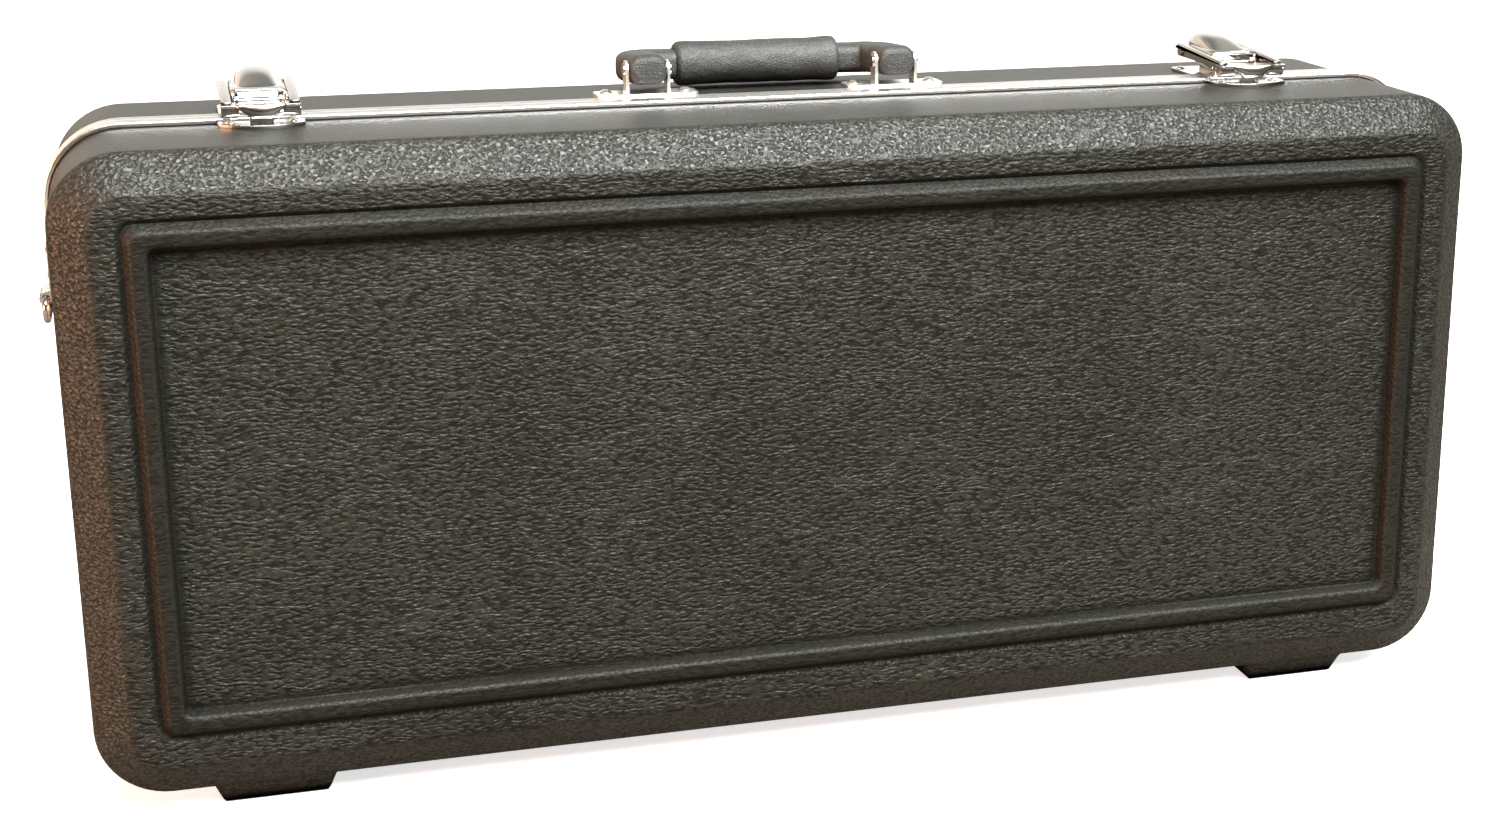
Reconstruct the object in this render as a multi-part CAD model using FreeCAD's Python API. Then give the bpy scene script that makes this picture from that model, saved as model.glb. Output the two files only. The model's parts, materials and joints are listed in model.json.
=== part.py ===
"""Moulded instrument case: two formed plastic shells with a padded, fitted inside.

Millimetres. X runs along the case's length, +Y towards its back, +Z up. The case stands on its
moulded feet, closed, with the carrying handle folded back. The origin is on the ground, half way
along the case, in the plane where the two halves part. The lid is the half at -Y.
"""

import FreeCAD, Part
import math
import os

V = FreeCAD.Vector
X_AXIS = V(1, 0, 0)
Y_AXIS = V(0, 1, 0)
Z_AXIS = V(0, 0, 1)

# Shells
LENGTH = 640.0
HEIGHT = 280.0
HALF_DEPTH = 80.0
FOOT_HEIGHT = 10.0
MID_Z = FOOT_HEIGHT + HEIGHT / 2
CORNER = 31.0
WALL = 3.0
CHAMFER_IN = 16.0
CHAMFER_DEEP = 12.0
RIDGE_Y = HALF_DEPTH - CHAMFER_DEEP
EDGE_ROUND = 4.0
TOP_Z = FOOT_HEIGHT + HEIGHT
END_X = LENGTH / 2

# Raised bead and sunk panel on each large face
PANEL_LENGTH = 561.0
PANEL_HEIGHT = 200.0
PANEL_CORNER = 3.5
PANEL_SINK = 2.5
PANEL_RISE = 1.5
BEAD_WIDTH = 10.7
BEAD_HEIGHT = 3.5
BEAD_CORNER = 6.0
BEAD_SHOULDER = 3.3

# Moulded feet
FOOT_X = 246.0
FOOT_LENGTH = 54.0
FOOT_FRONT_Y = 14.0
FOOT_BACK_Y = 67.0
FOOT_DRAFT = 2.0
FOOT_CORNER = 6.0

# Metal valance round the parting plane
VALANCE_HALF = 7.5
VALANCE_PROUD = 2.5
VALANCE_WEB = 3.0
VALANCE_LIP = 1.1
PARTING_GAP = 0.05
VALANCE_TOP_Z = TOP_Z + VALANCE_PROUD
VALANCE_END_X = END_X + VALANCE_PROUD

# Sheet metal and fasteners
SHEET = 1.3
RIVET_SHANK = 1.6
RIVET_TAIL = 3.0
RIVET_TAIL_THICK = 1.0
RUNNING_GAP = 0.05
PLATE_GRIP = SHEET + WALL
RAISED_GRIP = SHEET + VALANCE_PROUD + WALL

# Hinges under the case
HINGE_XS = (-150.0, 0.0, 150.0)
HINGE_LENGTH = 50.0
HINGE_Z = 4.3
KNUCKLE_R = 2.9
HINGE_PIN_R = 1.25
KNUCKLES = 5

# Carrying handle
BRACKET_X = 59.0
BRACKET_LENGTH = 47.0
BRACKET_FRONT_Y = 4.5
BRACKET_BACK_Y = 19.0
BRACKET_CORNER = 2.5
BRACKET_RIVET_X = 18.5
BRACKET_RIVET_Y = 13.0
EAR_SPACING = 19.0
EAR_DEPTH = 8.5
HANDLE_Y = 9.0
HANDLE_Z = 304.5
HANDLE_PIN_R = 2.0
GRIP_Y = 42.0
GRIP_Z = 302.0
GRIP_R = 10.2
GRIP_LENGTH = 79.0
STRAP_WIDTH = 16.8
STRAP_THICK = 13.6
CORE_HALF_WIDTH = 4.0
CORE_R = 4.0
CORE_BAR_R = 3.0

# Draw latches on the top
LATCH_X = 231.0
LEVER_Y = 5.0
LEVER_Z = 297.8
CLAW_Y = 33.0
CLAW_Z = 300.2
LATCH_PIN_R = 1.4
CLAW_HALF = 14.7
LEVER_HALF = 11.7
CHEEK_HALF = 9.9
CROWN_R = 3.1
TAB_HALF = 9.0
LATCH_PLATE_HALF = 17.0
LATCH_RIVET_X = 13.5
LATCH_RIVET_YS = (13.0, 36.0)
KEEPER_HALF = 18.0
KEEPER_END_Y = -17.0
KEEPER_FRONT_Y = -24.0
KEEPER_RIVET_X = 13.0
LIP_Y = -15.0
LIP_HEIGHT = 3.0
HOOK_Y = -19.8
CLAW_ROLL_R = 2.8
CLAW_ROLL_LENGTH = 7.3

# Shoulder-strap rings on the ends
RING_X = 325.9
RING_Z = 215.4
RING_WIRE_R = 1.65
RING_Y = 13.0
RING_WIDTH = 24.0
RING_DROP = 9.0
RING_CORNER = 4.0
ROLL_HALF = 7.8

# Foam insert and its hollows
INSERT_GAP = 1.8
INSERT_INSET = WALL + INSERT_GAP
INSERT_FRONT_Y = 2.0
INSERT_BACK_Y = HALF_DEPTH - PANEL_SINK - WALL - 0.5
LOWER_BOUT_X = -185.0
LOWER_BOUT_R = 95.0
UPPER_BOUT_X = -60.0
UPPER_BOUT_R = 72.0
WAIST_R = 30.0
BODY_HOLLOW_Y = 58.0
NECK_HOLLOW_Y = 40.0
NECK_WIDTH = 60.0
HEAD_X = (195.0, 297.0)
HEAD_WIDTH = 90.0
FLOOR_PAD = 4.0
NECK_REST_X = (85.0, 125.0)
NECK_REST_Y = 26.0
SADDLE_R = 25.0

# Accessory compartment
POCKET_X = (40.0, 165.0)
POCKET_Z = (42.0, 100.0)
POCKET_BACK_Y = 47.0
POCKET_LEDGE = 3.5
POCKET_LID_THICK = 2.6
POCKET_LID_Y = INSERT_FRONT_Y + 0.2
TAB_WIDTH = 16.0
TAB_LENGTH = 22.0
TAB_THICK = 1.55

# Lid padding
LINING_THICK = 2.0
LID_PAD_FACE_Y = -34.0
HEAD_PAD_FACE_Y = -40.0
HEAD_PAD_X = (199.0, 276.0)
LID_INNER_Y = -(HALF_DEPTH - PANEL_SINK - WALL)
PAD_BACK_Y = LID_INNER_Y + LINING_THICK + 0.5


def write(name, shape):
    """Write one named part."""
    shape.exportStep("parts/" + name + ".step")


def box(x0, x1, y0, y1, z0, z1):
    return Part.makeBox(x1 - x0, y1 - y0, z1 - z0, V(x0, y0, z0))


def rod(start, direction, radius, length):
    return Part.makeCylinder(radius, length, start, direction)


def fuse(shapes):
    """One solid from touching or overlapping ones."""
    joined = shapes[0].multiFuse(shapes[1:])
    return joined.removeSplitter()


def mirror_y(shape):
    """The same shape on the other side of the parting plane."""
    return shape.mirror(V(0, 0, 0), Y_AXIS)


def mirror_x(shape):
    """The same shape at the other end of the case."""
    return shape.mirror(V(0, 0, 0), X_AXIS)


def prism_x(points, x0, x1):
    """A side profile, given as (y, z) points, carried from x0 to x1."""
    corners = [V(x0, y, z) for y, z in points]
    face = Part.Face(Part.makePolygon(corners + corners[:1]))
    return face.extrude(V(x1 - x0, 0, 0))


def rounded_wire(across, up, corner, centre, u, v):
    """Rounded rectangle with sides along the unit vectors u and v."""
    half_u = across / 2 - corner
    half_v = up / 2 - corner
    arcs = []
    for turn, (su, sv) in enumerate(((1, 1), (-1, 1), (-1, -1), (1, -1))):
        middle = centre + u * (su * half_u) + v * (sv * half_v)
        ring = []
        for part in (0, 45, 90):
            angle = math.radians(90 * turn + part)
            ring.append(middle + u * (corner * math.cos(angle)) + v * (corner * math.sin(angle)))
        arcs.append(ring)
    edges = []
    for index, ring in enumerate(arcs):
        edges.append(Part.Arc(*ring).toShape())
        edges.append(Part.makeLine(ring[2], arcs[(index + 1) % 4][0]))
    return Part.Wire(edges)


def face_outline(length, height, corner, y, rise=0.0):
    """Rounded rectangle in the case's XZ plane, about the case's middle or rise above it."""
    return rounded_wire(length, height, corner, V(0, y, MID_Z + rise), X_AXIS, Z_AXIS)


def slab(length, height, corner, y0, y1, rise=0.0):
    """A rounded rectangular plate between y0 and y1."""
    return Part.Face(face_outline(length, height, corner, y0, rise)).extrude(V(0, y1 - y0, 0))


def ring_slab(outward, inward, y0, y1):
    """A ring that follows the shell's outline, from inward to outward of its outer surface."""
    outer = slab(LENGTH + 2 * outward, HEIGHT + 2 * outward, CORNER + outward, y0, y1)
    inner = slab(LENGTH - 2 * inward, HEIGHT - 2 * inward, CORNER - inward, y0, y1)
    return outer.cut(inner)


def edges_at(shape, axis, value, tolerance=0.01):
    """Edges that lie wholly in the plane axis = value."""
    found = []
    for edge in shape.Edges:
        if all(abs(vertex.Point[axis] - value) < tolerance for vertex in edge.Vertexes):
            found.append(edge)
    return found


def edges_along(shape, axis):
    """Straight edges that run parallel to axis 0, 1 or 2."""
    others = [index for index in range(3) if index != axis]
    found = []
    for edge in shape.Edges:
        a = edge.Vertexes[0].Point
        b = edge.Vertexes[-1].Point
        still = all(abs(a[index] - b[index]) < 0.01 for index in others)
        if still and abs(a[axis] - b[axis]) > 0.01:
            found.append(edge)
    return found


def rounded_block(x0, x1, y0, y1, z0, z1, corner):
    """A block whose four edges along Y are rounded."""
    block = box(x0, x1, y0, y1, z0, z1)
    return block.makeFillet(corner, edges_along(block, 1))


def domed_rivet(point, direction, head_r, head_h, grip):
    """A rivet whose domed head stands on point, with a shank through grip and a tail behind."""
    dome_r = (head_r ** 2 + head_h ** 2) / (2 * head_h)
    dome = Part.makeSphere(dome_r, V(0, 0, head_h - dome_r))
    head = dome.common(Part.makeCylinder(head_r, head_h))
    shank = Part.makeCylinder(RIVET_SHANK, grip, V(0, 0, -grip))
    tail = Part.makeCylinder(RIVET_TAIL, RIVET_TAIL_THICK, V(0, 0, -grip - RIVET_TAIL_THICK))
    rivet = fuse([head, shank, tail])
    rivet.Placement = FreeCAD.Placement(point, FreeCAD.Rotation(Z_AXIS, direction))
    return rivet


def shank_hole(point, direction, grip):
    """The hole that a rivet's shank fills."""
    return rod(point, direction * -1, RIVET_SHANK, grip)


# ---- shells ------------------------------------------------------------------------------------


def bevelled_block(inset, front_y, back_y):
    """A block that follows the shell's outline, drawn in by inset, with a bevelled back rim."""
    ridge_y = back_y - CHAMFER_DEEP
    length = LENGTH - 2 * inset
    height = HEIGHT - 2 * inset
    corner = CORNER - inset
    walls = slab(length, height, corner, front_y, ridge_y)
    rim = face_outline(length, height, corner, ridge_y)
    flat_length = length - 2 * CHAMFER_IN
    flat_height = height - 2 * CHAMFER_IN
    flat = face_outline(flat_length, flat_height, corner - CHAMFER_IN, back_y)
    return fuse([walls, Part.makeLoft([rim, flat], True, True)])


def shell_form(inset, back_y):
    """The solid form of one half, drawn in by inset, with its rim rounded at both bends."""
    form = bevelled_block(inset, 0, back_y)
    form = form.makeFillet(EDGE_ROUND, edges_at(form, 1, back_y - CHAMFER_DEEP))
    return form.makeFillet(EDGE_ROUND, edges_at(form, 1, back_y))


def foot_form(x, inset):
    """One foot: a drafted block with rounded lower edges that runs up into the shell."""
    length = FOOT_LENGTH - 2 * inset
    depth = FOOT_BACK_Y - FOOT_FRONT_Y - 2 * inset
    middle_y = (FOOT_BACK_Y + FOOT_FRONT_Y) / 2
    bottom_z = inset
    top_z = FOOT_HEIGHT + WALL + 1
    low = V(x, middle_y, bottom_z)
    high = V(x, middle_y, top_z)
    drafted = 2 * FOOT_DRAFT
    sole = rounded_wire(length - drafted, depth - drafted, FOOT_CORNER, low, X_AXIS, Y_AXIS)
    root = rounded_wire(length, depth, FOOT_CORNER, high, X_AXIS, Y_AXIS)
    block = Part.makeLoft([sole, root], True, True)
    return block.makeFillet(EDGE_ROUND, edges_at(block, 2, bottom_z))


def bead():
    """The raised ring round the panel, rounded over at its outer shoulder."""
    crest_y = HALF_DEPTH + BEAD_HEIGHT
    floor_y = HALF_DEPTH - PANEL_SINK
    length = PANEL_LENGTH + 2 * BEAD_WIDTH
    height = PANEL_HEIGHT + 2 * BEAD_WIDTH
    outer = slab(length, height, BEAD_CORNER, floor_y, crest_y, PANEL_RISE)
    outer = outer.makeFillet(BEAD_SHOULDER, edges_at(outer, 1, crest_y))
    return outer.cut(slab(PANEL_LENGTH, PANEL_HEIGHT, PANEL_CORNER, floor_y, crest_y, PANEL_RISE))


def half_shell(holes):
    """The back shell: 3 mm sheet with feet, a raised bead and a sunk panel."""
    panel_y = HALF_DEPTH - PANEL_SINK
    panel = slab(PANEL_LENGTH, PANEL_HEIGHT, PANEL_CORNER, panel_y, HALF_DEPTH + 1, PANEL_RISE)
    feet_out = [foot_form(x, 0) for x in (-FOOT_X, FOOT_X)]
    feet_in = [foot_form(x, WALL) for x in (-FOOT_X, FOOT_X)]
    outer = fuse([shell_form(0, HALF_DEPTH)] + feet_out).cut(panel)
    outer = fuse([outer, bead()])
    inner = fuse([shell_form(WALL, HALF_DEPTH - WALL)] + feet_in)
    panel_back = slab(
        PANEL_LENGTH + 2 * WALL,
        PANEL_HEIGHT + 2 * WALL,
        PANEL_CORNER + WALL,
        panel_y - WALL,
        HALF_DEPTH,
        PANEL_RISE,
    )
    inner = inner.cut(panel_back)
    rim = box(-LENGTH, LENGTH, -1, VALANCE_WEB, -1, TOP_Z + 1)
    return outer.cut(inner).cut(rim).cut(Part.makeCompound(holes))


# ---- valance -----------------------------------------------------------------------------------


def half_valance():
    """A ribbed channel that grips the shell's edge, without its tongue or groove."""
    inward = WALL + VALANCE_LIP
    ring = ring_slab(VALANCE_PROUD, inward, PARTING_GAP, VALANCE_HALF)
    ring = ring.cut(ring_slab(0, WALL, VALANCE_WEB, VALANCE_HALF))
    rib_depth = 0.5
    rib_width = 0.7
    for rib_y in (2.3, 5.0):
        groove = ring_slab(VALANCE_PROUD + 1, rib_depth - VALANCE_PROUD, rib_y, rib_y + rib_width)
        ring = ring.cut(groove)
    return ring


def base_valance():
    """The back half carries the tongue."""
    tongue = ring_slab(-1.2, 2.4, -1.2, PARTING_GAP)
    return fuse([half_valance(), tongue])


def lid_valance():
    """The front half carries the groove that takes the tongue."""
    groove = ring_slab(-0.7, 2.9, -1.6, 0)
    return mirror_y(half_valance()).cut(groove)


# ---- hinges ------------------------------------------------------------------------------------


def knuckle_spans(x, first):
    """Every second knuckle's x range, starting from knuckle number first."""
    pitch = HINGE_LENGTH / KNUCKLES
    spans = []
    for index in range(first, KNUCKLES, 2):
        start = x - HINGE_LENGTH / 2 + index * pitch
        spans.append((start + 0.1, start + pitch - 0.1))
    return spans


def hinge_leaf(x, first, bore_r):
    """The leaf behind the pin: a joggled plate with rolled knuckles."""
    left = x - HINGE_LENGTH / 2
    right = x + HINGE_LENGTH / 2
    valance_z = FOOT_HEIGHT - VALANCE_PROUD
    near = box(left, right, 1.0, 9.0, valance_z - SHEET, valance_z)
    riser = box(left, right, VALANCE_HALF + 0.2, 9.0, valance_z - SHEET, FOOT_HEIGHT)
    far = box(left, right, VALANCE_HALF + 0.2, 24.0, FOOT_HEIGHT - SHEET, FOOT_HEIGHT)
    leaf = fuse([near, riser, far])
    clearance = rod(V(left - 1, 0, HINGE_Z), X_AXIS, KNUCKLE_R + 0.2, HINGE_LENGTH + 2)
    leaf = leaf.cut(clearance)
    knuckles = []
    for start, end in knuckle_spans(x, first):
        roll = rod(V(start, 0, HINGE_Z), X_AXIS, KNUCKLE_R, end - start)
        web = box(start, end, 0, 4.0, valance_z - SHEET, valance_z - 0.35)
        knuckles.append(roll.fuse(web))
    leaf = fuse([leaf] + knuckles)
    bore = rod(V(left - 1, 0, HINGE_Z), X_AXIS, bore_r, HINGE_LENGTH + 2)
    return leaf.cut(bore)


def hinge_rivet_places(x, side):
    """Centre points of a leaf's rivet heads, on its lower face."""
    return [V(x + dx, side * 17.0, FOOT_HEIGHT - SHEET) for dx in (-17.0, 0.0, 17.0)]


def hinge_leaves_base(holes):
    leaves = [hinge_leaf(x, 0, HINGE_PIN_R) for x in HINGE_XS]
    return Part.makeCompound([leaf.cut(Part.makeCompound(holes)) for leaf in leaves])


def hinge_leaves_lid(holes):
    leaves = [mirror_y(hinge_leaf(x, 1, HINGE_PIN_R + RUNNING_GAP)) for x in HINGE_XS]
    return Part.makeCompound([leaf.cut(Part.makeCompound(holes)) for leaf in leaves])


def hinge_pins():
    length = HINGE_LENGTH - 0.4
    pins = [rod(V(x - length / 2, 0, HINGE_Z), X_AXIS, HINGE_PIN_R, length) for x in HINGE_XS]
    return Part.makeCompound(pins)


# ---- carrying handle ---------------------------------------------------------------------------


def bracket_rivet_places(x):
    top_z = VALANCE_TOP_Z + SHEET
    return [V(x + dx, BRACKET_RIVET_Y, top_z) for dx in (-BRACKET_RIVET_X, BRACKET_RIVET_X)]


def handle_bracket(x, holes):
    """A plate over the valance with two upright ears that hold the handle's pin."""
    left = x - BRACKET_LENGTH / 2
    right = x + BRACKET_LENGTH / 2
    plate = box(left, right, BRACKET_FRONT_Y, BRACKET_BACK_Y, VALANCE_TOP_Z, VALANCE_TOP_Z + SHEET)
    plate = plate.makeFillet(BRACKET_CORNER, edges_along(plate, 2))
    packing = box(left, right, VALANCE_HALF + 0.2, BRACKET_BACK_Y, TOP_Z, VALANCE_TOP_Z)
    back_corners = [edge for edge in edges_along(packing, 2) if edge.Vertexes[0].Point.y > BRACKET_RIVET_Y]
    parts = [plate, packing.makeFillet(BRACKET_CORNER, back_corners)]
    half_ear = EAR_DEPTH / 2
    for side in (-1, 1):
        ear_x = x + side * EAR_SPACING / 2 - SHEET / 2
        low_z = VALANCE_TOP_Z + 0.5
        ear = box(ear_x, ear_x + SHEET, HANDLE_Y - half_ear, HANDLE_Y + half_ear, low_z, HANDLE_Z)
        crown = rod(V(ear_x, HANDLE_Y, HANDLE_Z), X_AXIS, half_ear, SHEET)
        parts += [ear, crown]
    bracket = fuse(parts)
    pin_hole = rod(V(left, HANDLE_Y, HANDLE_Z), X_AXIS, HANDLE_PIN_R, BRACKET_LENGTH)
    return bracket.cut(pin_hole).cut(Part.makeCompound(holes))


def handle_pins():
    """A pin through each bracket's ears, with a flat head outside each ear."""
    pins = []
    reach = EAR_SPACING / 2 + SHEET / 2
    for x in (-BRACKET_X, BRACKET_X):
        shank = rod(V(x - reach, HANDLE_Y, HANDLE_Z), X_AXIS, HANDLE_PIN_R, 2 * reach)
        head_a = rod(V(x - reach - 0.9, HANDLE_Y, HANDLE_Z), X_AXIS, 2.9, 0.9)
        head_b = rod(V(x + reach, HANDLE_Y, HANDLE_Z), X_AXIS, 2.9, 0.9)
        pins.append(fuse([shank, head_a, head_b]))
    return Part.makeCompound(pins)


def handle_arm(x, half_width, radius, bore_r):
    """One arm, from a rounded eye on the pin to a rounded end on the grip's axis."""
    left = x - half_width
    eye = rod(V(left, HANDLE_Y, HANDLE_Z), X_AXIS, radius, 2 * half_width)
    far = rod(V(left, GRIP_Y, GRIP_Z), X_AXIS, radius, 2 * half_width)
    along = V(0, GRIP_Y - HANDLE_Y, GRIP_Z - HANDLE_Z)
    across = V(0, -along.z, along.y).normalize() * radius
    start = V(left, HANDLE_Y, HANDLE_Z)
    end = V(left, GRIP_Y, GRIP_Z)
    corners = [start + across, end + across, end - across, start - across]
    web = Part.Face(Part.makePolygon(corners + corners[:1])).extrude(V(2 * half_width, 0, 0))
    arm = fuse([eye, far, web])
    return arm.cut(rod(V(left - 1, HANDLE_Y, HANDLE_Z), X_AXIS, bore_r, 2 * half_width + 2))


def handle_core():
    """The steel bail inside the leather: two eyes joined by a bar through the grip."""
    bore_r = HANDLE_PIN_R + RUNNING_GAP
    arms = [handle_arm(x, CORE_HALF_WIDTH, CORE_R, bore_r) for x in (-BRACKET_X, BRACKET_X)]
    reach = BRACKET_X - CORE_HALF_WIDTH
    bar = rod(V(-reach, GRIP_Y, GRIP_Z), X_AXIS, CORE_BAR_R, 2 * reach)
    return fuse(arms + [bar])


def handle_cover():
    """The leather over the arms and corners, hollow for the steel core."""
    half = STRAP_WIDTH / 2
    radius = STRAP_THICK / 2
    pieces = []
    for x in (-BRACKET_X, BRACKET_X):
        arm = handle_arm(x, half, radius, HANDLE_PIN_R + 0.4)
        side = -1 if x > 0 else 1
        inner_x = x + side * half
        grip_end = side * -1 * GRIP_LENGTH / 2
        start = min(inner_x - side * 2, grip_end)
        neck = rod(V(start, GRIP_Y, GRIP_Z), X_AXIS, radius, abs(grip_end - inner_x) + 2)
        pieces.append(fuse([arm, neck]))
    core = []
    for x in (-BRACKET_X, BRACKET_X):
        core.append(handle_arm(x, CORE_HALF_WIDTH + RUNNING_GAP, CORE_R + RUNNING_GAP, 0.5))
    bar = rod(V(-BRACKET_X, GRIP_Y, GRIP_Z), X_AXIS, CORE_BAR_R + RUNNING_GAP, 2 * BRACKET_X)
    hollow = fuse(core + [bar])
    return Part.makeCompound([piece.cut(hollow) for piece in pieces])


def handle_grip():
    """The padded sleeve that the hand closes on."""
    tube = rod(V(-GRIP_LENGTH / 2, GRIP_Y, GRIP_Z), X_AXIS, GRIP_R, GRIP_LENGTH)
    ends = edges_at(tube, 0, -GRIP_LENGTH / 2) + edges_at(tube, 0, GRIP_LENGTH / 2)
    tube = tube.makeFillet(2.5, ends)
    bore_r = CORE_BAR_R + RUNNING_GAP
    return tube.cut(rod(V(-GRIP_LENGTH, GRIP_Y, GRIP_Z), X_AXIS, bore_r, 2 * GRIP_LENGTH))


# ---- draw latches ------------------------------------------------------------------------------


def keeper_rivet_places():
    return [V(LATCH_X + dx, -13.0, TOP_Z + SHEET) for dx in (-KEEPER_RIVET_X, KEEPER_RIVET_X)]


def latch_rivet_places():
    places = []
    for dx in (-LATCH_RIVET_X, LATCH_RIVET_X):
        for y in LATCH_RIVET_YS:
            places.append(V(LATCH_X + dx, y, TOP_Z + SHEET))
    return places


def across_latch(y, z, radius, half):
    """A rod along X, centred on the latch."""
    return rod(V(LATCH_X - half, y, z), X_AXIS, radius, 2 * half)


def both_cheeks(profile, half):
    """The same side plate at both sides of the latch, with its outer face at half from the middle."""
    left = prism_x(profile, LATCH_X - half, LATCH_X - half + SHEET)
    right = prism_x(profile, LATCH_X + half - SHEET, LATCH_X + half)
    return [left, right]


def latch_keeper(holes):
    """The plate on the lid, bowed at its front edge, with a low lip for the claw."""
    back_y = -VALANCE_HALF - 0.8
    a = V(LATCH_X - KEEPER_HALF, back_y, TOP_Z)
    b = V(LATCH_X + KEEPER_HALF, back_y, TOP_Z)
    c = V(LATCH_X + KEEPER_HALF, KEEPER_END_Y, TOP_Z)
    d = V(LATCH_X - KEEPER_HALF, KEEPER_END_Y, TOP_Z)
    bow = Part.Arc(c, V(LATCH_X, KEEPER_FRONT_Y, TOP_Z), d).toShape()
    outline = Part.Wire([Part.makeLine(a, b), Part.makeLine(b, c), bow, Part.makeLine(d, a)])
    plate = Part.Face(outline).extrude(V(0, 0, SHEET))
    lip = box(LATCH_X - 5, LATCH_X + 5, LIP_Y, LIP_Y + SHEET, TOP_Z + 0.5, TOP_Z + LIP_HEIGHT)
    return fuse([plate, lip]).cut(Part.makeCompound(holes))


def latch_base(holes):
    """The plate on the back half, with two cheeks that hold the lever's pin."""
    back_y = LATCH_RIVET_YS[1] + 6.0
    left = LATCH_X - LATCH_PLATE_HALF
    right = LATCH_X + LATCH_PLATE_HALF
    plate = box(left, right, VALANCE_HALF + 0.3, back_y, TOP_Z, TOP_Z + SHEET)
    back_corners = [edge for edge in edges_along(plate, 2) if edge.Vertexes[0].Point.y > back_y - 1]
    plate = plate.makeFillet(4.0, back_corners)
    over_valance = VALANCE_TOP_Z + 0.3
    on_plate = TOP_Z + 0.5
    profile = [
        (LEVER_Y - CROWN_R, over_valance),
        (8.4, over_valance),
        (8.4, on_plate),
        (21.0, on_plate),
        (21.0, 295.0),
        (9.0, LEVER_Z + CROWN_R),
    ]
    for degrees in range(90, 181, 15):
        angle = math.radians(degrees)
        profile.append((LEVER_Y + CROWN_R * math.cos(angle), LEVER_Z + CROWN_R * math.sin(angle)))
    pin_hole = across_latch(LEVER_Y, LEVER_Z, LATCH_PIN_R, LATCH_PLATE_HALF)
    return fuse([plate] + both_cheeks(profile, CHEEK_HALF)).cut(pin_hole).cut(Part.makeCompound(holes))


def latch_lever_pin():
    return across_latch(LEVER_Y, LEVER_Z, LATCH_PIN_R, LEVER_HALF + 0.7)


def latch_lever():
    """The thumb lever: two side plates, a top plate and a raised tab at the back."""
    side = [
        (LEVER_Y, 294.3),
        (12.0, 295.0),
        (34.0, 297.6),
        (37.0, 300.0),
        (36.0, 303.0),
        (12.0, 302.6),
        (2.4, 302.0),
        (1.5, 297.8),
        (2.4, 295.2),
    ]
    top = [(2.4, 301.6), (2.4, 302.6), (9.0, 303.3), (30.0, 303.3), (30.0, 302.0), (9.0, 302.0)]
    tab = [
        (8.0, 302.2),
        (8.0, 303.4),
        (13.0, 305.6),
        (25.0, 308.6),
        (33.0, 309.0),
        (38.5, 308.0),
        (41.0, 305.8),
        (40.0, 304.2),
        (33.0, 302.2),
    ]
    plate = prism_x(top, LATCH_X - LEVER_HALF, LATCH_X + LEVER_HALF)
    hood = prism_x(tab, LATCH_X - TAB_HALF, LATCH_X + TAB_HALF)
    upper = [edge for edge in edges_along(hood, 0) if edge.Vertexes[0].Point.z > 305]
    hood = hood.makeFillet(1.6, upper)
    lever = fuse(both_cheeks(side, LEVER_HALF) + [plate, hood])
    lever_bore = across_latch(LEVER_Y, LEVER_Z, LATCH_PIN_R + RUNNING_GAP, LATCH_PLATE_HALF)
    claw_bore = across_latch(CLAW_Y, CLAW_Z, LATCH_PIN_R, LATCH_PLATE_HALF)
    return lever.cut(lever_bore).cut(claw_bore)


def latch_claw_pin():
    """The pin at the lever's back end, headed outside the claw's arms."""
    reach = CLAW_HALF + 0.1
    shank = across_latch(CLAW_Y, CLAW_Z, LATCH_PIN_R, reach)
    head_a = rod(V(LATCH_X - reach - 1.0, CLAW_Y, CLAW_Z), X_AXIS, 2.3, 1.0)
    head_b = rod(V(LATCH_X + reach, CLAW_Y, CLAW_Z), X_AXIS, 2.3, 1.0)
    return fuse([shank, head_a, head_b])


def latch_claw():
    """The claw: side arms back to its pin, and a front bar with rolled ends and a hook."""
    arm = [
        (-16.0, 297.2),
        (20.0, 297.6),
        (33.0, 297.6),
        (35.6, 298.6),
        (36.2, 300.6),
        (35.0, 302.6),
        (32.0, 303.2),
        (-16.0, 299.6),
    ]
    bar_half = CLAW_HALF + 1.8
    bar = box(LATCH_X - bar_half, LATCH_X + bar_half, HOOK_Y, -12.6, 298.2, 299.5)
    left_roll = rod(V(LATCH_X - bar_half, -15.5, 296.5), X_AXIS, CLAW_ROLL_R, CLAW_ROLL_LENGTH)
    right_start = LATCH_X + bar_half - CLAW_ROLL_LENGTH
    right_roll = rod(V(right_start, -15.5, 296.5), X_AXIS, CLAW_ROLL_R, CLAW_ROLL_LENGTH)
    corners = []
    for dx, z in ((-10.0, 299.4), (10.0, 299.4), (4.5, 293.5), (-4.5, 293.5)):
        corners.append(V(LATCH_X + dx, HOOK_Y, z))
    shield = Part.Face(Part.makePolygon(corners + corners[:1])).extrude(V(0, SHEET, 0))
    toe = box(LATCH_X - 4.5, LATCH_X + 4.5, HOOK_Y + 0.8, HOOK_Y + 4.2, 293.5, 294.7)
    claw = fuse(both_cheeks(arm, CLAW_HALF) + [bar, left_roll, right_roll, shield, toe])
    return claw.cut(across_latch(CLAW_Y, CLAW_Z, LATCH_PIN_R + RUNNING_GAP, LATCH_PLATE_HALF))


# ---- strap rings -------------------------------------------------------------------------------


def ring_rivet_places():
    return [V(VALANCE_END_X + SHEET, 16.0, z) for z in (223.5, 235.0)]


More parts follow.
